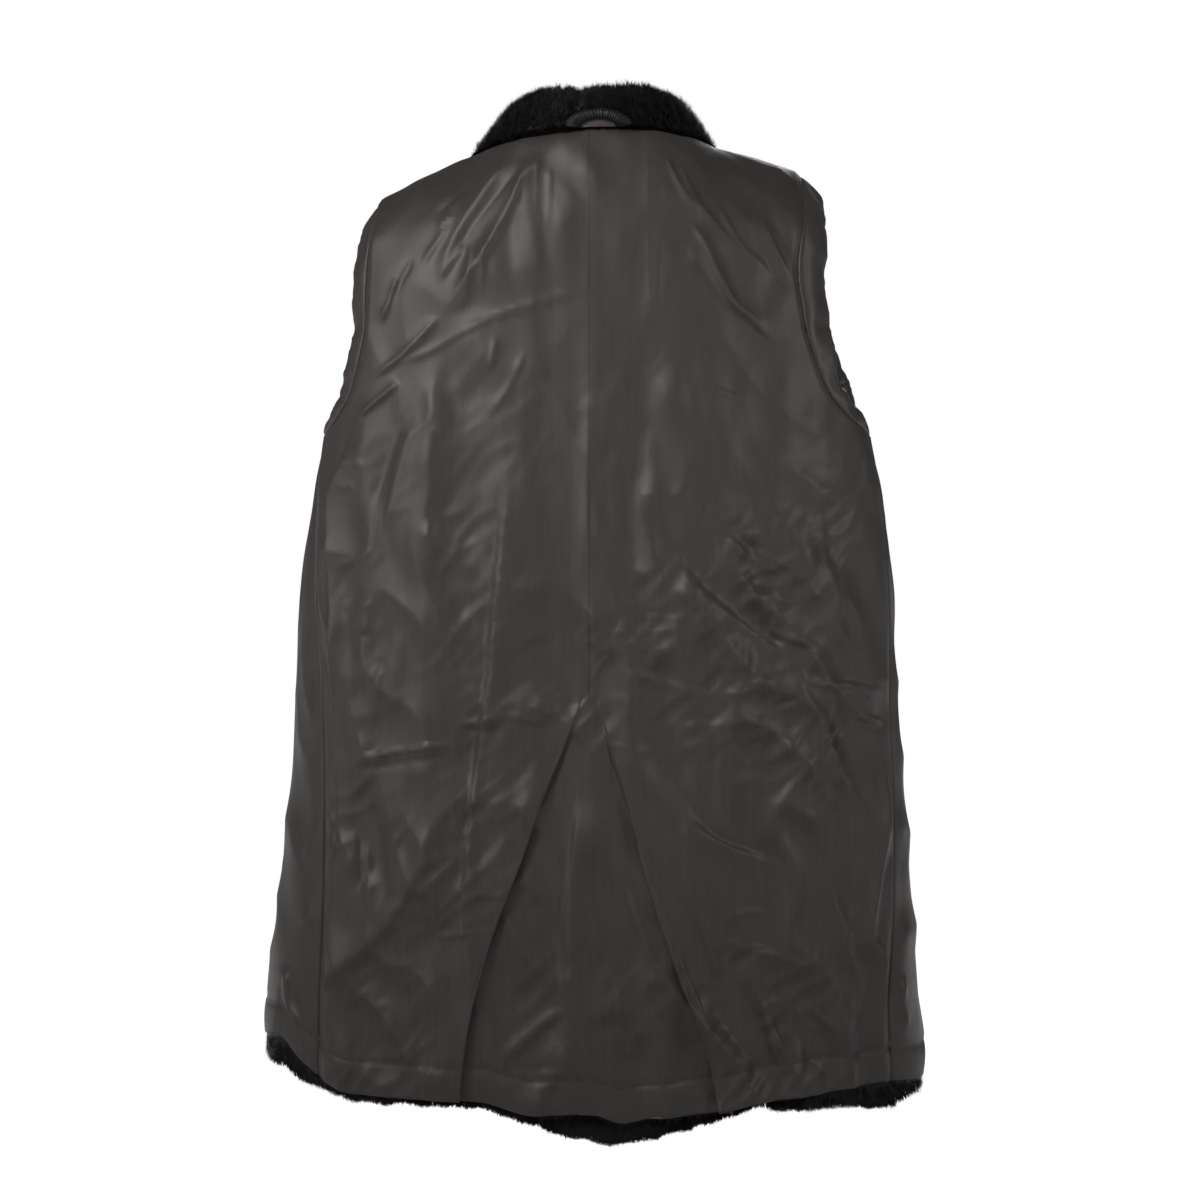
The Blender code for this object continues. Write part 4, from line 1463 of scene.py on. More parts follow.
# ---------------------------------------------------------------- sleeves
@dataclass(frozen=True)
class SleeveForm:
    """A sleeve's face: a strip past the armhole seam, a rim rolled in, and a tube inside."""

    body: BodyForm
    side: int
    seam_gap: float = 0.0003
    strip_curve: float = 0.090
    rim_radius: float = 0.014
    rim_turn_top: float = 130.0
    rim_turn_bottom: float = 180.0
    tube_outer_x: float = 0.262
    pull_in: float = 0.55
    pull_down: float = 0.80
    beyond: float = 0.06
    shoulder_turns: tuple[float, ...] = (0.0, 24.0, 46.0, 68.0, 90.0)
    armhole_rows: tuple[float, ...] = (-0.240, -0.275, -0.300, -0.314)
    strip_steps: int = 6
    rim_steps: int = 10
    cap_steps: int = 16
    tube_rows: int = 14

    def stations(self, per_step: int) -> list[Row]:
        """Rows of the body at which the seam is taken.

        Args:
            per_step: How many there are from one named row to the next.

        Returns:
            The rows, from the shoulder tip to the underarm.
        """
        heights = (self.body.chest_z, *self.armhole_rows)
        steps = np.arange(4 * per_step + 1) / per_step
        turns = np.interp(steps, range(len(self.shoulder_turns)), self.shoulder_turns)
        drops = np.interp(steps[1:], range(len(heights)), heights)
        rows = [Row(RowKind.SHOULDER, float(turn)) for turn in turns]
        return rows + [Row(RowKind.ARMHOLE, float(z)) for z in drops]

    def seam(self, per_step: int) -> tuple[Array, Array, Array]:
        """Points and normals round the armhole from the shoulder tip, and how far down each is.

        Args:
            per_step: How many points there are between two of the named rows.

        Returns:
            The points, the normals, and the places from 0 at the top to 1 at the underarm.
        """
        rows = self.stations(per_step)
        shares = np.array([float(self.side)])
        back = [self.body.panel(row, shares, BACK) for row in rows]
        front = [self.body.panel(row, shares, FRONT) for row in rows]
        loop = back + front[-2:0:-1]
        down = np.linspace(0, 1, len(rows))
        places = np.concatenate((down, down[-2:0:-1]))
        points = np.array([point[0] for point, _ in loop])
        return points, np.array([normal[0] for _, normal in loop]), places

    def grid(self, per_step: int = 10) -> tuple[Array, Array]:
        """The sleeve's face, by row from the seam to the cuff and by column round it.

        Args:
            per_step: How finely the seam is divided.

        Returns:
            The points and the normals, which point to the side of the arm.
        """
        seam, normals, places = self.seam(per_step)
        tangent = unit(np.roll(seam, -1, axis=0) - np.roll(seam, 1, axis=0))
        out = unit(np.cross(normals, tangent))
        hub = seam.mean(axis=0) + (self.side * self.beyond, 0.0, 0.0)
        flipped = ((hub - seam) * out).sum(axis=1) < 0
        out = np.where(flipped[:, None], -out, out)
        name = "left" if self.side < 0 else "right"
        behind = np.arange(len(places)) <= len(places) // 2
        width = np.where(behind, STRIP.read(name, places), STRIP.read(f"{name}_front", places))
        rows = []
        start = seam + out * self.seam_gap
        for share in np.linspace(0, 1, self.strip_steps + 1):
            bend = (share * width / self.strip_curve)[:, None]
            turned = out * np.sin(bend) - normals * (1 - np.cos(bend))
            rows.append(start + turned * self.strip_curve)
        bend = (width / self.strip_curve)[:, None]
        rim_normal = normals * np.cos(bend) + out * np.sin(bend)
        rim_out = out * np.cos(bend) - normals * np.sin(bend)
        middle = rows[-1] - rim_normal * self.rim_radius
        full = self.rim_turn_top + (self.rim_turn_bottom - self.rim_turn_top) * places
        turn = np.radians(full)[:, None]
        for share in np.arange(1, self.rim_steps + 1) / self.rim_steps:
            radial = rim_normal * np.cos(turn * share) + rim_out * np.sin(turn * share)
            rows.append(middle + radial * self.rim_radius)
        heading = unit(rim_out * np.cos(turn) - rim_normal * np.sin(turn))
        end = self.tube_ring(SLEEVE_TUBE.places[-1], len(seam))
        span = np.linalg.norm(end - rows[-1], axis=1, keepdims=True)
        leaving = heading * span * self.pull_in
        arriving = np.array((0.0, 0.0, -1.0)) * span * self.pull_down
        begin = rows[-1]
        for t in np.arange(1, self.cap_steps) / self.cap_steps:
            rows.append(curve(t, begin, leaving, end, arriving))
        for z in np.linspace(SLEEVE_TUBE.places[-1], SLEEVE_TUBE.places[0], self.tube_rows):
            rows.append(self.tube_ring(z, len(seam)))
        grid = np.array(rows)
        facing = grid_normals(grid, ring=True)
        if (facing[1] * normals).sum() < 0:
            facing = -facing
        facing[0] = normals
        return grid, facing

    def tube_ring(self, z: float, count: int) -> Array:
        """A level ring of the tube inside the coat.

        Args:
            z: Its height.
            count: How many points it has.

        Returns:
            The points, from the one nearest to the middle of the coat.
        """
        half_x = float(SLEEVE_TUBE.read("half_x", z))
        half_y = float(SLEEVE_TUBE.read("half_y", z))
        turn = 2 * np.pi * np.arange(count) / count
        x = self.side * (self.tube_outer_x - half_x - half_x * np.cos(turn))
        return np.stack((x, -half_y * np.sin(turn), np.full(count, z)), axis=-1)


@dataclass
class SleeveLining:
    """The satin of one sleeve, gathered a little where it turns in."""

    name: str
    form: SleeveForm
    thickness: float = 0.0006
    gathers: float = 0.0022
    deepest: float = 0.0012
    broad_cells: Triple = (5.5, 5.5, 3.0)
    fine_cells: Triple = (13.0, 13.0, 4.0)

    def build(self) -> bpy.types.Object:
        """Makes the sleeve's lining.

        Returns:
            The object.
        """
        grid, facing = self.form.grid()
        rows, columns = grid.shape[:2]
        places = np.zeros((rows, columns, 3))
        turn = 2 * np.pi * np.arange(columns) / columns
        places[..., 0] = np.cos(turn)
        places[..., 1] = np.sin(turn)
        places[..., 2] = np.arange(rows)[:, None] / rows
        soft = self.gathers * waves(places, self.broad_cells, 2.3 + self.form.side)
        soft += 0.6 * self.gathers * waves(places, self.fine_cells, 6.3)
        row = np.arange(rows)[:, None]
        soft = soft * smooth((row - 0.5) / 4)
        for index, dip in enumerate(EDGE_DIPS):
            soft[index] -= dip
        outer = grid + facing * soft[..., None]
        soft = np.maximum(soft, -self.deepest)
        inner = grid + facing * (lowest_near(soft) - self.thickness)[..., None]
        shell = Shell(outer, inner, ring=True, stride=2)
        return shell.build(self.name, {"above_hem": np.full((rows, columns), 1.0)})


# ---------------------------------------------------------------- fur
@dataclass(frozen=True)
class PileSize:
    """How the hairs of one stretch of fur are cut and laid."""

    count: int
    length: float = 0.0105
    width: float = 0.0016
    lean: float = 24.0
    spread: float = 0.30
    clump: float = 0.35
    clump_size: float = 0.016
    sink: float = 0.0010
    stem: float = 0.55
    tip: float = 0.45
    bend_width: float = 0.8


# A blade of hair is a four-sided stem with a three-sided tip on it. These are its corners by the
# number of the vertex, where each face starts among them, and how each vertex differs in tone.
BLADE_CORNERS = (0, 1, 2, 3, 3, 2, 4)
BLADE_STARTS = (0, 4)
BLADE_TONES = (-0.25, -0.25, 0.0, 0.0, 0.15)


class Pile:
    """Fur as one joined mesh of short curved blades of hair."""

    def __init__(self, name: str, seed: int) -> None:
        """Starts an empty pile.

        Args:
            name: The object's name.
            seed: Fixes where its hairs stand.
        """
        self.name = name
        self.random = np.random.default_rng(seed)
        self.points: list[Array] = []
        self.tones: list[Array] = []

    def scatter(
        self,
        grid: Array,
        facing: Array,
        nap: Array,
        size: PileSize,
        thick: Array | None = None,
        wanted: Callable[[Array], Array] | None = None,
    ) -> None:
        """Spreads hairs evenly over a grid of points.

        Args:
            grid: The points that the hairs stand on.
            facing: The directions they stand up in.
            nap: The directions they are brushed in.
            size: Their number and cut.
            thick: How dense they are in each cell of the grid, 1 if not given.
            wanted: Tells for each root whether its hair is kept.
        """
        down = np.linalg.norm(grid[1:, :-1] - grid[:-1, :-1], axis=-1)
        across = np.linalg.norm(grid[:-1, 1:] - grid[:-1, :-1], axis=-1)
        weight = down * across
        if thick is not None:
            weight = weight * thick
        weight = weight.ravel() / weight.sum()
        cell = self.random.choice(len(weight), size=size.count, p=weight)
        row, column = np.divmod(cell, grid.shape[1] - 1)
        u, v = self.random.random((2, size.count, 1))

        def between(values: Array) -> Array:
            """Values of the grid at the roots.

            Args:
                values: One value or vector for each point of the grid.

            Returns:
                One for each root.
            """
            low = values[row, column] * (1 - u) + values[row, column + 1] * u
            high = values[row + 1, column] * (1 - u) + values[row + 1, column + 1] * u
            return low * (1 - v) + high * v

        roots = between(grid)
        kept = np.ones(size.count, bool) if wanted is None else wanted(roots)
        self.stand(roots[kept], unit(between(facing))[kept], unit(between(nap))[kept], size)

    def stand(self, roots: Array, facing: Array, nap: Array, size: PileSize) -> None:
        """Stands hairs at given places.

        Args:
            roots: The places.
            facing: The directions they stand up in.
            nap: The directions they are brushed in.
            size: Their cut; the count isn't used.
        """
        count = len(roots)
        cells = 1 / size.clump_size
        pull = np.stack([waves(roots, (cells,) * 3, seed) for seed in (3.3, 17.9, 41.7)], axis=-1)
        stray = self.random.normal(0, size.spread, (count, 3)) + size.clump * 2 * pull
        lean = math.radians(size.lean)
        rise = unit(nap * math.cos(lean) + facing * math.sin(lean) + 0.5 * stray)
        lay = unit(nap * math.cos(lean * 0.5) + facing * math.sin(lean * 0.5) + 0.8 * stray)
        long = size.length * (0.75 + 0.4 * self.random.random((count, 1)) + 0.5 * pull[:, :1])
        half = unit(np.cross(rise, facing + 0.5 * stray)) * size.width / 2
        start = roots - facing * size.sink
        middle = start + rise * long * size.stem
        tip = middle + lay * long * size.tip
        bend = half * size.bend_width
        blade = (start - half, start + half, middle + bend, middle - bend, tip)
        self.points.append(np.stack(blade, axis=1))
        tone = 0.5 + 0.9 * pull[:, 0] + self.random.normal(0, 0.16, count)
        self.tones.append(np.clip(tone, 0, 1))

    def build(self) -> bpy.types.Object:
        """Joins the hairs into one object.

        Returns:
            The object.
        """
        blades = np.concatenate(self.points)
        tones = np.concatenate(self.tones)
        each = len(BLADE_TONES)
        number = np.arange(len(blades))[:, None]
        corners = (each * number + np.array(BLADE_CORNERS)).ravel()
        starts = (len(BLADE_CORNERS) * number + np.array(BLADE_STARTS)).ravel()
        mesh = bpy.data.meshes.new(self.name)
        mesh.vertices.add(each * len(blades))
        mesh.vertices.foreach_set("co", blades.astype(np.float32).ravel())
        mesh.loops.add(len(corners))
        mesh.loops.foreach_set("vertex_index", corners.astype(np.int32))
        mesh.polygons.add(len(starts))
        mesh.polygons.foreach_set("loop_start", starts.astype(np.int32))
        mesh.update(calc_edges=True)
        mesh.validate()
        mesh.shade_smooth()
        made = bpy.data.objects.new(self.name, mesh)
        bpy.context.scene.collection.objects.link(made)
        shade = np.repeat(tones, each).reshape(-1, each) + np.array(BLADE_TONES)
        add_values(made, "tone", shade.ravel())
        return made


@dataclass(frozen=True)
class Pelt:
    """The leather under the fur: a plain closed sheet, with how deep it lies."""

    depth: float = 0.0023
    thickness: float = 0.0055

    def faces(self, grid: Array, facing: Array) -> tuple[Array, Array]:
        """The sheet's two faces: the one next to the lining, and the one away from it."""
        outer = grid - facing * self.depth
        return outer, outer - facing * self.thickness


def downwards(grid: Array) -> Array:
    """The direction to the next row at each point of a grid."""
    return unit(np.gradient(grid, axis=0))


@dataclass
class FurPanel:
    """The fur of one body panel: its leather, the pile inside it and the fringe at its hem."""

    name: str
    body: BodyForm
    pelt: Pelt
    facing: int
    side: int = 0
    seed: int = 1
    plan: RowPlan = field(default_factory=lambda: RowPlan(12, 8, 48))
    columns: int = 61
    start_x: float = 0.003
    inside: PileSize = PileSize(count=26000, width=0.0022, length=0.0120)
    hem: PileSize = PileSize(count=16000, width=0.0010, length=0.0095, lean=16.0)
    fringe: PileSize = PileSize(count=5000, width=0.0009, length=0.0100, lean=8.0)
    edge: PileSize = PileSize(count=2500, width=0.0012, length=0.0090, lean=20.0)
    hem_rise: float = 0.0035
    hem_rows: int = 3
    hem_gap: float = 0.001

    def grid(self) -> tuple[Array, Array]:
        """The panel's grid on the body surface, ending a little above the pile's tips.

        Returns:
            The points and their normals.
        """
        if self.side:
            opening = (self.side, self.start_x, self.columns, True)
            grid, facing, _ = front_grid(self.body, self.plan, *opening)
        else:
            shares = np.linspace(-1, 1, self.columns)
            rows = self.plan.rows(self.body)
            found = [self.body.panel(row, shares, self.facing, True) for row in rows]
            grid, facing = (np.array(part) for part in zip(*found))
        grid = grid.copy()
        grid[-1, :, 2] += self.hem_rise
        return grid, facing

    def build(self) -> tuple[bpy.types.Object, bpy.types.Object]:
        """Makes the leather and the pile.

        Returns:
            The two objects.
        """
        grid, facing = self.grid()
        outer, inner = self.pelt.faces(grid, facing)
        leather = Shell(outer, inner, stride=1).build(f"pelt_{self.name}")
        pile = Pile(f"pile_{self.name}", self.seed)
        nap = downwards(grid)
        pile.scatter(inner, -facing, nap, self.inside)
        low = slice(-self.hem_rows - 1, None)
        pile.scatter(outer[low], facing[low], nap[low], self.hem, None, self.below_lining)
        for rim in self.rims(outer, inner, facing, nap):
            pile.scatter(*rim)
        return leather, pile.build()

    def below_lining(self, roots: Array) -> Array:
        """Whether each root lies below the lining's hem, where the fur shows."""
        return roots[:, 2] < self.body.hem(roots[:, 0], roots[:, 1], False) - self.hem_gap

    def rims(
        self, outer: Array, inner: Array, facing: Array, nap: Array
    ) -> Iterator[tuple[Array, Array, Array, PileSize]]:
        """Narrow strips at the leather's edges, whose hairs hang past the hem or roll over.

        Args:
            outer: The leather's face next to the lining.
            inner: Its other face.
            facing: The normals.
            nap: The directions the hairs are brushed in.

        Yields:
            What each strip's hairs are scattered by: the hem's, then the front opening's.
        """
        strip = np.stack((outer[-1], (outer[-1] + inner[-1]) / 2, inner[-1]))
        turned = np.stack((facing[-1], nap[-1] * 0.2 + facing[-1] * 0.1, -facing[-1]))
        yield strip, unit(turned), np.stack((nap[-1],) * 3), self.fringe
        if self.side:
            level = np.zeros(len(outer))
            away = unit(np.stack((-facing[:, 0, 1], facing[:, 0, 0], level), axis=-1))
            towards = unit(outer[:, 0] - outer[:, 1])
            away = np.where((away * towards).sum(axis=1, keepdims=True) < 0, -away, away)
            lie = unit(nap[:, 0] + 0.25 * away)
            edges = ((outer[:, 0], inner[:, 0]), (away, away), (lie, lie))
            yield *(np.stack(pair, axis=1) for pair in edges), self.edge


@dataclass
class FurSleeve:
    """The fur of one sleeve, round the outside of its tube inside the coat."""

    name: str
    form: SleeveForm
    pelt: Pelt
    seed: int
    pile: PileSize = PileSize(count=13000, width=0.0022, length=0.0100)
    cuff: PileSize = PileSize(count=1500, width=0.0012, length=0.0080, lean=12.0)
    cuff_drop: float = 0.002
    first_row: int = 9

    def build(self) -> tuple[bpy.types.Object, bpy.types.Object]:
        """Makes the leather and the pile of the sleeve.

        Returns:
            The two objects.
        """
        grid, facing = self.form.grid(per_step=5)
        grid = grid[::2].copy()
        facing = facing[::2]
        grid[-1, :, 2] -= self.cuff_drop
        outer, inner = self.pelt.faces(grid, facing)
        leather = Shell(outer, inner, ring=True, stride=1).build(f"pelt_{self.name}")
        outer, inner, facing = wrap(outer), wrap(inner), wrap(facing)
        pile = Pile(f"pile_{self.name}", self.seed)
        nap = downwards(inner)
        inside = slice(self.first_row, None)
        pile.scatter(inner[inside], -facing[inside], nap[inside], self.pile)
        ends = ((outer[-1], inner[-1]), (facing[-1], -facing[-1]), (nap[-1], nap[-1]))
        pile.scatter(*(np.stack(pair) for pair in ends), self.cuff)
        return leather, pile.build()


# Where the hanger loop stands in the neck seam, a little to the right of the centre.
LOOP_X = 0.0042


@dataclass(frozen=True)
class NeckForm:
    """Where the collar and the loop stand round the neckline, by the angle from the centre back."""

    body: BodyForm
    reach: float = 0.9999
    outset: float = 0.007
    lift: float = 0.0006

    def at(self, angle: Array) -> tuple[Array, ...]:
        """Foot, outward direction, rise and thickness of the collar.

        Args:
            angle: Angles in degrees.

        Returns:
            The four, each by angle.
        """
        angle = np.atleast_1d(np.asarray(angle, float))
        x = self.reach * self.body.neck_half_width * np.sin(np.radians(angle))
        behind = np.abs(angle) <= 90
        base = np.where(behind[:, None], self.body.top(x, BACK), self.body.top(x, FRONT))
        out = unit(base * (1, 1, 0))
        height = COLLAR.read("height", angle)[:, None]
        lean = COLLAR.read("lean", angle)[:, None]
        thick = COLLAR.read("thick", angle)[:, None]
        foot = base + out * (self.outset - thick / 2) + (0, 0, self.lift)
        return foot, out, height * (0, 0, 1) - out * lean, thick


@dataclass
class FurCollar:
    """The stand collar, fur on both sides, with a faint parting at the centre back."""

    neck: NeckForm
    stations: int = 150
    sides: int = 30
    power: float = 3.0
    foot_power: float = 9.0
    thinner: float = 0.72
    lower: float = 0.90
    parting_x: float = -0.016
    coat: PileSize = PileSize(
        count=42000, length=0.0085, width=0.0008, lean=42.0, spread=0.40, clump=0.16,
        clump_size=0.008,
    )
    foot_hairs: PileSize = PileSize(
        count=9000, length=0.0065, width=0.0009, lean=62.0, spread=0.30, clump=0.3,
        clump_size=0.012,
    )
    top_hairs: PileSize = PileSize(
        count=3600, length=0.0125, width=0.0005, lean=14.0, spread=0.34, clump=0.22,
        clump_size=0.007,
    )
    end_hairs: PileSize = PileSize(
        count=700, length=0.0075, width=0.0011, lean=55.0, clump_size=0.011
    )
    ends_at: float = 174.5
    lumps: float = 0.0011
    parting_width: float = 0.003
    parting_depth: float = 0.0014
    behind_y: float = 0.02
    behind_density: float = 1.7
    ridge_points: int = 4
    loop_x: float = LOOP_X
    loop_reach: float = 0.034
    loop_top: float = 0.0225
    outer_y: float = -0.096

    def grids(self) -> tuple[Array, Array, Array]:
        """The collar's core by station and by point round its section.

        Returns:
            The points, the directions that its hairs stand up in, and those they are brushed in.
        """
        angles = np.linspace(-self.ends_at, self.ends_at, self.stations)
        foot, out, rise, thick = self.neck.at(angles)
        turn = 2 * np.pi * np.arange(self.sides) / self.sides
        power = np.where(np.sin(turn) < 0, self.foot_power, self.power)
        across = np.sign(np.cos(turn)) * np.abs(np.cos(turn)) ** (2 / power)
        up = np.sign(np.sin(turn)) * np.abs(np.sin(turn)) ** (2 / power)
        across = across[None, :, None]
        up = up[None, :, None]
        wide = out[:, None] * (thick[:, None] / 2 * self.thinner * across)
        points = foot[:, None] + out[:, None] * thick[:, None] / 2 + wide
        points = points + rise[:, None] * (self.lower * (0.5 + 0.5 * up))
        points = points - out[:, None] * thick[:, None] / 2
        lumps = self.lumps * waves(points, (45.0, 45.0, 45.0), 8.8)
        standing = unit(out[:, None] * across * 1.2 + unit(rise)[:, None] * up)
        parting = np.exp(-(((points[..., 0] - self.parting_x) / self.parting_width) ** 2))
        parting = parting * (points[..., 1] < 0) * (up[..., 0] > -0.2)
        points = points + standing * (lumps - self.parting_depth * parting)[..., None]
        sway = waves(points, (30.0,) * 3, 5.5)[..., None] * (1, 0, 0)
        aside = np.sign(points[..., 0] - self.parting_x) * parting
        brushed = unit(rise)[:, None] + 0.35 * sway + aside[..., None] * (1.2, 0, 0)
        return points, standing, unit(brushed)

    def build(self) -> tuple[bpy.types.Object, bpy.types.Object]:
        """Makes the collar's core and its fur.

        Returns:
            The two objects.
        """
        points, standing, brushed = self.grids()
        faces = tube_faces(*points.shape[:2])
        core = make_object("collar_core", points.reshape(-1, 3), faces)
        pile = Pile("pile_collar", 31)
        thick = np.where(points[:-1, :, 1] < self.behind_y, self.behind_density, 1.0)
        around = (wrap(points), wrap(standing), wrap(brushed))
        pile.scatter(*around, self.coat, thick, self.beside_loop)
        top = self.sides // 4
        ridge = slice(top - self.ridge_points, top + self.ridge_points + 1)
        pile.scatter(points[:, ridge], standing[:, ridge], brushed[:, ridge], self.top_hairs)
        self.cover_foot(pile, points)
        self.cap_ends(pile, points, brushed)
        return core, pile.build()

    def beside_loop(self, roots: Array) -> Array:
        """Whether each root lies clear of the hanger loop."""
        beside = np.abs(roots[:, 0] - self.loop_x) >= self.loop_reach
        return beside | (roots[:, 2] >= self.loop_top) | (roots[:, 1] >= self.outer_y)

    def cover_foot(self, pile: Pile, points: Array) -> None:
        """Brushes short hairs out over the neck seam, from the outer side of the collar's foot.

        Args:
            pile: The pile they are added to.
            points: The core's points, by station and by place round the section.
        """
        strip = points[:, self.sides - self.sides // 4 + 1 :]
        away = unit(points[:, :1] - points[:, self.sides // 2 : self.sides // 2 + 1])
        away = np.broadcast_to(away, strip.shape)
        brushed = unit(away * 0.5 - np.array((0.0, 0.0, 1.0)))
        pile.scatter(strip, away, brushed, self.foot_hairs, None, self.beside_loop)

    def cap_ends(self, pile: Pile, points: Array, brushed: Array) -> None:
        """Covers the collar's two ends at the front with hairs.

        Args:
            pile: The pile they are added to.
            points: The core's points, by station and by place round the section.
            brushed: The directions that its hairs are brushed in.
        """
        count = self.end_hairs.count
        for end, beside in ((0, 1), (-1, -2)):
            away = unit((points[end] - points[beside]).mean(axis=0))
            middle = points[end].mean(axis=0)
            shares = pile.random.random((count, 1)) ** 0.5
            picks = pile.random.integers(0, points.shape[1], count)
            roots = middle + (points[end][picks] - middle) * shares
            pile.stand(roots, np.tile(away, (count, 1)), brushed[end][picks], self.end_hairs)


@dataclass
class HangerLoop:
    """The ruched satin loop in the neck seam, drawn up on a cord, and the satin seen through it."""

    neck: NeckForm
    centre_x: float = LOOP_X
    half_width: float = 0.0240
    height: float = 0.0130
    foot: float = 0.0022
    radius: float = 0.0048
    band_top: float = 0.0058
    band_foot: float = 0.0100
    gap: float = 0.0003
    stations: int = 192
    sides: int = 24
    gathers: int = 25
    gather_depth: float = 0.36
    gather_shape: float = 0.7
    swell: float = 0.7
    drift: float = 0.35
    end_share: float = 0.03
    end_size: float = 0.86
    backing: tuple[float, float] = (0.0185, 0.0115)
    backing_edge: float = 0.97
    backing_foot: float = 0.0008
    backing_out: float = 0.0012
    backing_thick: float = 0.0006
    backing_crumple: float = 0.0003

    def at(self, x: Array, climb: Array, out_by: float) -> Array:
        """Points in front of the collar's outer face.

        Args:
            x: Where they are across.
            climb: How high they are above the neck seam.
            out_by: How far they are from the face.

        Returns:
            The points.
        """
        angle = np.degrees(np.arcsin(x / self.neck.body.neck_half_width))
        foot, out, rise, thick = self.neck.at(angle.ravel())
        raised = rise * (climb.ravel() / rise[:, 2])[:, None]
        return (foot + out * (thick / 2 + out_by) + raised).reshape(*x.shape, 3)

    def build(self) -> bpy.types.Object:
        """Makes the loop with its backing, whose faces take the second finish.

        Returns:
            The object.
        """
        points, faces = self.band()
        back_points, back_faces = self.backing_shell()
        first = len(points)
        faces += [tuple(first + corner for corner in face) for face in back_faces]
        made = make_object("loop_ruched", np.concatenate((points, back_points)), faces)
        for polygon in made.data.polygons[-len(back_faces) :]:
            polygon.material_index = 1
        return made

    def band(self) -> tuple[Array, Faces]:
        """The ruched tube.

        Returns:
            Its points and faces.
        """
        turns = np.linspace(0, np.pi, self.stations)
        x = self.centre_x - self.half_width * np.cos(turns)
        centres = self.at(x, self.foot + self.height * np.sin(turns), self.radius + self.gap)
        along = unit(np.gradient(centres, axis=0))
        depth = unit(np.cross(along, np.cross((0.0, 1.0, 0.0), along)))
        side = np.cross(along, depth)
        round_turn = 2 * np.pi * np.arange(self.sides) / self.sides
        share = np.linspace(0, 1, self.stations)
        drift = self.drift * np.array([noise.noise(Vector((9 * at, 0.4, 1.7))) for at in share])
        phase = 2 * np.pi * self.gathers * (share + 0.02 * drift)
        uneven = np.array([noise.noise(Vector((24 * at, 3.1, 5.2))) for at in share])
        twist = 0.3 * np.sin(round_turn)[None] * uneven[:, None]
        ribs = np.abs(np.sin(phase[:, None] / 2 + twist)) ** self.gather_shape
        depth_share = self.gather_depth * (1 + 0.5 * uneven)[:, None]
        ends = smooth(np.minimum(share, 1 - share) / self.end_share)[:, None]
        size = (1 - depth_share * (1 - ribs)) * (self.end_size + (1 - self.end_size) * ends)
        wide = self.band_foot + (self.band_top - self.band_foot) * np.sin(turns) ** self.swell
        radial = self.radius * depth[:, None] * np.cos(round_turn)[None, :, None]
        radial = radial + wide[:, None, None] * side[:, None] * np.sin(round_turn)[None, :, None]
        points = centres[:, None] + radial * size[..., None]
        return points.reshape(-1, 3), tube_faces(self.stations, self.sides)

    def backing_shell(self) -> tuple[Array, Faces]:
        """The small piece of satin behind the loop's opening.

        Returns:
            Its points and faces.
        """
        wide, high = self.backing
        across = np.linspace(-self.backing_edge, self.backing_edge, 25)
        u, v = np.meshgrid(across, np.linspace(0, 1, 9))
        x = self.centre_x + wide * u
        climb = self.backing_foot + high * np.sqrt(1 - u * u) * v
        outer = self.at(x, climb, self.backing_out + self.backing_thick)
        inner = self.at(x, climb, self.backing_out)
        crumple = self.backing_crumple * waves(outer, (160.0, 160.0, 60.0), 2.2)
        outer = outer + crumple[..., None] * (0, 1, 0)
        points, faces, _ = Shell(outer, inner, stride=1).faces()
        return points, faces


# ---------------------------------------------------------------- finishes
# Sockets of a Mix node: its share, the two colours that it blends, and its blended colour.
SHARE, FROM, TO, BLENDED = 0, 6, 7, 2


def new_material(
    name: str, settings: dict[str, object]
) -> tuple[bpy.types.Material, Tree, bpy.types.NodeInputs]:
    """Makes a Principled material.

    Args:
        name: Its name.
        settings: The shader's values, by the name of their socket.

    Returns:
        The material, its node tree and the shader's sockets.
    """
    material = bpy.data.materials.new(name)
    material.use_nodes = True
    shader = material.node_tree.nodes["Principled BSDF"].inputs
    for socket, value in settings.items():
        shader[socket].default_value = value
    return material, material.node_tree, shader


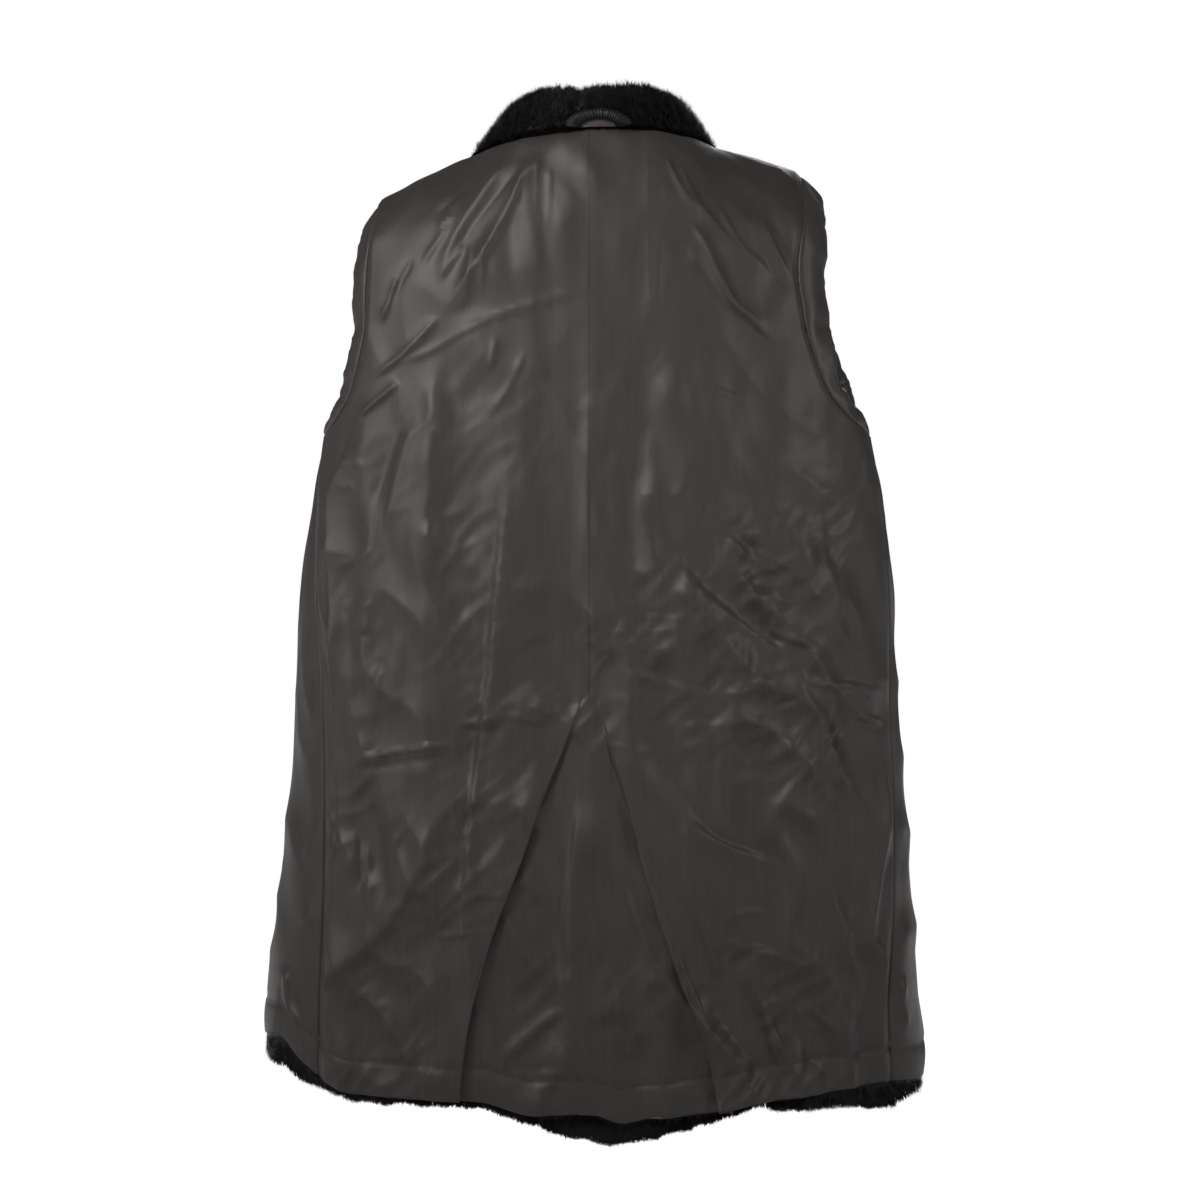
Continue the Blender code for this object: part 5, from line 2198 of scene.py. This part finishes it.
@dataclass(frozen=True)
class Satin:
    """Satin: a close glossy weave, which the eye takes from its broad streaky sheen.

    Streaks of thread break up the sheen, small crumples make it glint, and slanting ridges give
    it the look of thin cloth that was folded away. A scale is in cells of noise to the metre: the
    streaks are 4 mm wide and 74 mm long, drawn far coarser than the real threads, the crumples
    are 18 mm across and the ridges 48 mm apart. Depths are in metres.
    """

    name: str = "taupe-grey satin lining"
    colour: str = "#3e3937"
    streak: str = "#2f2a28"
    dark: str = "#161413"
    roughness: float = 0.50
    anisotropic: float = 0.30
    has_cloth_map: bool = True
    thread_stretch: Triple = (26.0, 26.0, 1.5)
    thread_scale: float = 9.0
    thread: float = 0.08
    thread_depth: float = 0.0006
    crumple: float = 0.12
    crumple_scale: float = 55.0
    crumple_depth: float = 0.0022
    crinkle: float = 0.36
    ridge_stretch: Triple = (1.0, 1.0, 0.55)
    ridge_slant: float = 0.5
    ridge_scale: float = 21.0
    ridge_depth: float = 0.022
    stitch_step: float = 0.009
    stitch_share: float = 0.33
    stitch: float = 0.6
    stitch_depth: float = 0.0008
    line_half: float = 0.0007
    line_shade: float = 0.45
    seam_x: float = -0.005

    def build(self) -> bpy.types.Material:
        """Makes the material.

        Returns:
            The material.
        """
        settings = {
            "Roughness": self.roughness,
            "IOR": 1.5,
            "Specular IOR Level": 0.5,
            "Sheen Weight": 0.04,
            "Sheen Roughness": 0.5,
            "Anisotropic": self.anisotropic,
        }
        material, tree, shader = new_material(self.name, settings)
        place = add_node(tree, "TexCoord", output="Object")
        streaks = add_node(tree, "Mapping", {"Scale": self.thread_stretch}, {"Vector": place})
        look = {"Scale": self.thread_scale, "Detail": 3.0}
        thread = add_node(tree, "TexNoise", look, {"Vector": streaks})
        look = {"data_type": "RGBA", FROM: linear(self.colour), TO: linear(self.streak)}
        colour = add_node(tree, "Mix", look, {SHARE: thread}, BLENDED)
        normal = self.relief(tree, place, thread)
        if self.has_cloth_map:
            sewn = self.sewing(tree, place)
            share = add_node(tree, "Math", {"operation": "MULTIPLY", 1: self.line_shade}, {0: sewn})
            look = {"data_type": "RGBA", TO: linear(self.dark)}
            colour = add_node(tree, "Mix", look, {SHARE: share, FROM: colour}, BLENDED)
            look = {"Strength": self.stitch, "Distance": self.stitch_depth, "invert": True}
            normal = add_node(tree, "Bump", look, {"Height": sewn, "Normal": normal})
            along = add_node(tree, "Tangent", {"direction_type": "UV_MAP", "uv_map": "cloth"})
            tree.links.new(along, shader["Tangent"])
        tree.links.new(colour, shader["Base Color"])
        tree.links.new(normal, shader["Normal"])
        return material

    def relief(
        self, tree: Tree, place: Socket, thread: Socket
    ) -> Socket:
        """Adds the crumples, the slanting ridges and the threads, one on the other.

        Args:
            tree: The material's tree.
            place: Object coordinates.
            thread: The noise of the thread streaks.

        Returns:
            The normal.
        """
        look = {"Scale": self.crumple_scale, "Detail": 5.0, "Roughness": 0.55}
        crumples = add_node(tree, "TexNoise", look, {"Vector": place})
        look = {"Strength": self.crumple, "Distance": self.crumple_depth}
        normal = add_node(tree, "Bump", look, {"Height": crumples})
        look = {"Scale": self.ridge_stretch, "Rotation": (0.0, self.ridge_slant, 0.0)}
        slant = add_node(tree, "Mapping", look, {"Vector": place})
        kind = {"noise_type": "RIDGED_MULTIFRACTAL"}
        look = kind | {"Scale": self.ridge_scale, "Detail": 3.0, "Roughness": 0.5}
        ridges = add_node(tree, "TexNoise", look, {"Vector": slant})
        look = {"Strength": self.crinkle, "Distance": self.ridge_depth}
        normal = add_node(tree, "Bump", look, {"Height": ridges, "Normal": normal})
        look = {"Strength": self.thread, "Distance": self.thread_depth}
        return add_node(tree, "Bump", look, {"Height": thread, "Normal": normal})

    def sewing(
        self, tree: Tree, place: Socket
    ) -> Socket:
        """Finds the hem's blind stitches, as dashes, and the centre-back seam above the pleat.

        Args:
            tree: The material's tree.
            place: Object coordinates.

        Returns:
            1 on a stitch or the seam, 0 elsewhere.
        """
        above = add_node(tree, "Attribute", {"attribute_name": "above_hem"}, output="Fac")
        look = {"operation": "COMPARE", 1: STITCHES_ABOVE_HEM, 2: self.line_half}
        line = add_node(tree, "Math", look, {0: above})
        cloth = add_node(tree, "UVMap", {"uv_map": "cloth"})
        across = add_node(tree, "SeparateXYZ", {}, {0: cloth})
        look = {"operation": "MULTIPLY", 1: 1 / self.stitch_step}
        steps = add_node(tree, "Math", look, {0: across})
        along = add_node(tree, "Math", {"operation": "FRACT"}, {0: steps})
        look = {"operation": "COMPARE", 1: 0.5, 2: self.stitch_share}
        dash = add_node(tree, "Math", look, {0: along})
        stitches = add_node(tree, "Math", {"operation": "MULTIPLY"}, {0: line, 1: dash})
        x, y, z = (add_node(tree, "SeparateXYZ", {}, {0: place}, axis) for axis in range(3))
        look = {"operation": "COMPARE", 1: self.seam_x, 2: self.line_half}
        centre = add_node(tree, "Math", look, {0: x})
        behind = add_node(tree, "Math", {"operation": "LESS_THAN", 1: 0.0}, {0: y})
        high = add_node(tree, "Math", {"operation": "GREATER_THAN", 1: SEAM_FOOT_Z}, {0: z})
        seam = add_node(tree, "Math", {"operation": "MULTIPLY"}, {0: centre, 1: behind})
        seam = add_node(tree, "Math", {"operation": "MULTIPLY"}, {0: seam, 1: high})
        return add_node(tree, "Math", {"operation": "MAXIMUM"}, {0: stitches, 1: seam})


@dataclass(frozen=True)
class Mink:
    """Mink: near-black guard hairs, which the eye takes from fine streaks of sheen.

    The hairs differ in tone from root to tip and from tuft to tuft, and those at the right side
    of the hem turn brown, as in the photograph. The leather under them is dull and uneven, with
    spots 6 mm across.
    """

    name: str = "near-black mink"
    dark: str = "#040404"
    light: str = "#0e0c0d"
    brown: str = "#2c1714"
    sheen: str = "#6b6460"
    leather: bool = False
    spots: float = 0.8
    spot_scale: float = 160.0
    spot_depth: float = 0.002
    brown_down: tuple[float, float] = (-1.02, -1.07)
    brown_right: tuple[float, float] = (0.05, 0.22)
    brown_most: float = 0.55

    def build(self) -> bpy.types.Material:
        """Makes the material.

        Returns:
            The material.
        """
        settings = {
            "Roughness": 0.5,
            "IOR": 1.55,
            "Specular IOR Level": 0.2,
            "Sheen Weight": 0.04,
            "Sheen Roughness": 0.4,
            "Sheen Tint": linear(self.sheen),
        }
        material, tree, shader = new_material(self.name, settings)
        place = add_node(tree, "TexCoord", output="Object")
        if self.leather:
            look = {"Scale": self.spot_scale, "Detail": 4.0}
            spots = add_node(tree, "TexNoise", look, {"Vector": place})
            look = {"Strength": self.spots, "Distance": self.spot_depth}
            tree.links.new(add_node(tree, "Bump", look, {"Height": spots}), shader["Normal"])
            tone = add_node(tree, "Math", {"operation": "MULTIPLY", 1: 0.5}, {0: spots})
        else:
            tone = add_node(tree, "Attribute", {"attribute_name": "tone"}, output="Fac")
        look = {"data_type": "RGBA", FROM: linear(self.dark), TO: linear(self.light)}
        colour = add_node(tree, "Mix", look, {SHARE: tone}, BLENDED)
        x, _, z = (add_node(tree, "SeparateXYZ", {}, {0: place}, axis) for axis in range(3))
        start, end = self.brown_down
        low = add_node(tree, "MapRange", {1: start, 2: end, 3: 0.0, 4: 1.0}, {0: z})
        start, end = self.brown_right
        right = add_node(tree, "MapRange", {1: start, 2: end, 3: 0.0, 4: self.brown_most}, {0: x})
        share = add_node(tree, "Math", {"operation": "MULTIPLY"}, {0: low, 1: right})
        look = {"data_type": "RGBA", TO: linear(self.brown)}
        colour = add_node(tree, "Mix", look, {SHARE: share, FROM: colour}, BLENDED)
        tree.links.new(colour, shader["Base Color"])
        return material


# ---------------------------------------------------------------- the studio
@dataclass(frozen=True)
class Light:
    """A soft rectangular light: its power is in watts, and its spread in degrees."""

    name: str
    at: Triple
    towards: Triple
    power: float
    wide: float
    high: float
    spread: float = 180.0

    def build(self) -> None:
        """Adds the light to the scene."""
        aim = Vector(self.towards) - Vector(self.at)
        turn = aim.to_track_quat("-Z", "Y").to_euler()
        bpy.ops.object.light_add(type="AREA", location=self.at, rotation=turn)
        lamp = bpy.context.object
        lamp.name = self.name
        lamp.data.shape = "RECTANGLE"
        lamp.data.size = self.wide
        lamp.data.size_y = self.high
        lamp.data.energy = self.power
        lamp.data.spread = math.radians(self.spread)


LIGHTS = (
    Light("key", (-1.15, -1.6, 1.0), (0.0, 0.0, -0.52), 3.2, 0.7, 0.6, 56.0),
    Light("fill", (-0.6, -3.4, 0.6), (0.0, 0.0, -0.20), 0.8, 1.4, 1.2),
    Light("top", (0.1, -1.2, 2.2), (0.0, 0.0, -0.05), 1.6, 1.0, 0.6),
    Light("front", (0.7, 2.7, 1.1), (0.0, 0.0, -0.45), 26.0, 1.4, 1.0),
    Light("side left", (-2.4, -1.9, 0.3), (0.0, 0.0, -0.30), 2.7, 0.35, 0.8, 80.0),
    Light("side right", (2.4, -1.5, 0.5), (0.0, 0.0, -0.35), 2.9, 0.35, 0.8, 80.0),
)


@dataclass(frozen=True)
class Studio:
    """A pale floor, a near-white world, soft lights and the camera."""

    floor_z: float = -1.55
    floor_size: float = 60.0
    glow: float = 0.14
    glow_ahead: tuple[float, float] = (0.5, 1.5)
    glow_away: tuple[float, float] = (2.5, 5.0)
    world_light: float = 0.05
    camera_at: Triple = (0.0067, -2.67, -0.494)
    lens: float = 72.0

    def build(self) -> None:
        """Sets up the floor, the world, the lights and the camera."""
        self.floor()
        self.world()
        for light in LIGHTS:
            light.build()
        self.camera()
        bpy.context.scene.view_settings.view_transform = "Standard"

    def floor(self) -> None:
        """Lays the floor, which glows white in the distance and hardly at all under the coat."""
        bpy.ops.mesh.primitive_plane_add(size=self.floor_size, location=(0, 0, self.floor_z))
        plane = bpy.context.object
        plane.name = "floor"
        settings = {
            "Emission Color": linear("#ffffff"),
            "Base Color": linear("#e8e7e6"),
            "Roughness": 0.9,
        }
        material, tree, shader = new_material("pale matt floor, white in the distance", settings)
        place = add_node(tree, "TexCoord", output="Object")
        ahead = add_node(tree, "SeparateXYZ", {}, {0: place}, 1)
        start, end = self.glow_ahead
        ahead = add_node(tree, "MapRange", {1: start, 2: end, 3: self.glow, 4: 1.0}, {0: ahead})
        away = add_node(tree, "VectorMath", {"operation": "LENGTH"}, {0: place}, "Value")
        start, end = self.glow_away
        away = add_node(tree, "MapRange", {1: start, 2: end, 3: self.glow, 4: 1.0}, {0: away})
        glow = add_node(tree, "Math", {"operation": "MAXIMUM"}, {0: ahead, 1: away})
        tree.links.new(glow, shader["Emission Strength"])
        plane.data.materials.append(material)
        plane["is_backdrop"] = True

    def world(self) -> None:
        """Sets a world that is white to the eye and dim as a light."""
        world = bpy.data.worlds.new("studio")
        world.use_nodes = True
        tree = world.node_tree
        seen = add_node(tree, "LightPath")
        dim = tree.nodes["Background"]
        dim.inputs[0].default_value = linear("#ffffff")
        dim.inputs[1].default_value = self.world_light
        bright = add_node(tree, "Background", {0: linear("#ffffff"), 1: 1.0})
        mixed = add_node(tree, "MixShader", {}, {0: seen, 1: dim.outputs[0], 2: bright})
        tree.links.new(mixed, tree.nodes["World Output"].inputs[0])
        bpy.context.scene.world = world

    def camera(self) -> None:
        """Places the camera level behind the coat, as in the photograph."""
        bpy.ops.object.camera_add(location=self.camera_at, rotation=(math.pi / 2, 0, 0))
        eye = bpy.context.object
        eye.data.lens = self.lens
        eye.data.sensor_width = 36.0
        bpy.context.scene.camera = eye


# ---------------------------------------------------------------- the coat
@dataclass
class Coat:
    """The whole coat: its forms, its pieces and their finishes."""

    body: BodyForm = field(default_factory=BodyForm)
    pelt: Pelt = field(default_factory=Pelt)

    def __post_init__(self) -> None:
        """Makes the finishes."""
        self.satin = Satin().build()
        self.loop_satin = Satin(
            name="black satin", colour="#171516", streak="#0f0e0f", roughness=0.45,
            anisotropic=0.0, crumple=0.15, crinkle=0.0, has_cloth_map=False,
        ).build()
        self.backing_satin = Satin(
            name="taupe satin at the neck", colour="#443c3b", streak="#3a3332", crinkle=0.0,
            has_cloth_map=False,
        ).build()
        self.mink = Mink().build()
        self.leather = Mink("dark pelt under the fur", leather=True).build()

    def place(
        self, made: bpy.types.Object, finish: bpy.types.Material, slot: str, node: str
    ) -> None:
        """Gives a piece its finish, hangs it from the root and hides the solid that it replaces.

        Args:
            made: The piece.
            finish: Its material.
            slot: The record's slot; not used.
            node: The solid that it replaces.
        """
        made.data.materials.append(finish)
        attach(made, "root")
        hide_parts(node)
        made.data.calc_loop_triangles()
        log.info("%s: %d triangles", made.name, len(made.data.loop_triangles))

    def linings(self) -> None:
        """Makes the lining of the body."""
        cloth = {"creases": CreaseField(BACK_CREASES, FRONT_CREASES), "hem": HemLine()}
        plan = RowPlan(shoulder=60, armhole=35, skirt=220)
        back = LiningBack("satin_back", self.body, plan=plan, **cloth).build()
        self.place(back, self.satin, "lining", "lining_back")
        for side, name in ((LEFT, "left"), (RIGHT, "right")):
            plan = RowPlan(shoulder=36, armhole=24, skirt=150)
            front = LiningFront(f"satin_front_{name}", self.body, plan=plan, side=side, **cloth)
            front = front.build()
            self.place(front, self.satin, "lining", f"lining_front_{name}")

    def furs(self) -> None:
        """Makes the fur of the body."""
        leather, pile = FurPanel("back", self.body, self.pelt, BACK, seed=11).build()
        self.dress_fur(leather, pile, "fur_back")
        for side, name in ((LEFT, "left"), (RIGHT, "right")):
            panel = FurPanel(
                f"front_{name}", self.body, self.pelt, FRONT, side=side, seed=15 + side, columns=41,
                inside=PileSize(count=15000, width=0.0022, length=0.0120),
                hem=PileSize(count=8000, width=0.0011, length=0.0095, lean=16.0),
                fringe=PileSize(count=2500, width=0.0011, length=0.0100, lean=8.0),
            )
            leather, pile = panel.build()
            self.dress_fur(leather, pile, f"fur_front_{name}")

    def dress_fur(
        self,
        leather: bpy.types.Object,
        pile: bpy.types.Object,
        node: str,
    ) -> None:
        """Finishes the leather and the pile of one panel.

        Args:
            leather: The leather.
            pile: The pile on it.
            node: The solid that both replace.
        """
        self.place(leather, self.leather, "fur", node)
        self.place(pile, self.mink, "fur", node)

    def sleeves(self) -> None:
        """Makes both sleeves."""
        for side, name in ((LEFT, "left"), (RIGHT, "right")):
            form = SleeveForm(self.body, side)
            lining = SleeveLining(f"satin_sleeve_{name}", form).build()
            self.place(lining, self.satin, "lining", f"lining_sleeve_{name}")
            leather, pile = FurSleeve(f"sleeve_{name}", form, self.pelt, 21 + side).build()
            self.dress_fur(leather, pile, f"fur_sleeve_{name}")

    def neck(self) -> None:
        """Makes the collar and the hanger loop."""
        form = NeckForm(self.body)
        core, pile = FurCollar(form).build()
        self.place(core, self.leather, "fur", "fur_collar")
        self.place(pile, self.mink, "fur", "fur_collar")
        loop = HangerLoop(form).build()
        self.place(loop, self.loop_satin, "lining", "hanger_loop")
        loop.data.materials.append(self.backing_satin)


def write_sizes() -> None:
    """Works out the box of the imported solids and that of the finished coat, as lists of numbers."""
    boxes = {"cad": CAD_BOX, "scene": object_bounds()}
    plain = {key: [[float(value) for value in corner] for corner in box] for key, box in boxes.items()}


def main() -> None:
    """Builds the coat piece by piece, and then the studio."""
    logging.basicConfig(level=logging.INFO, format="%(message)s")
    coat = Coat()
    coat.linings()
    coat.furs()
    coat.sleeves()
    coat.neck()
    Studio().build()
    write_sizes()


if __name__ == "__main__":
    main()
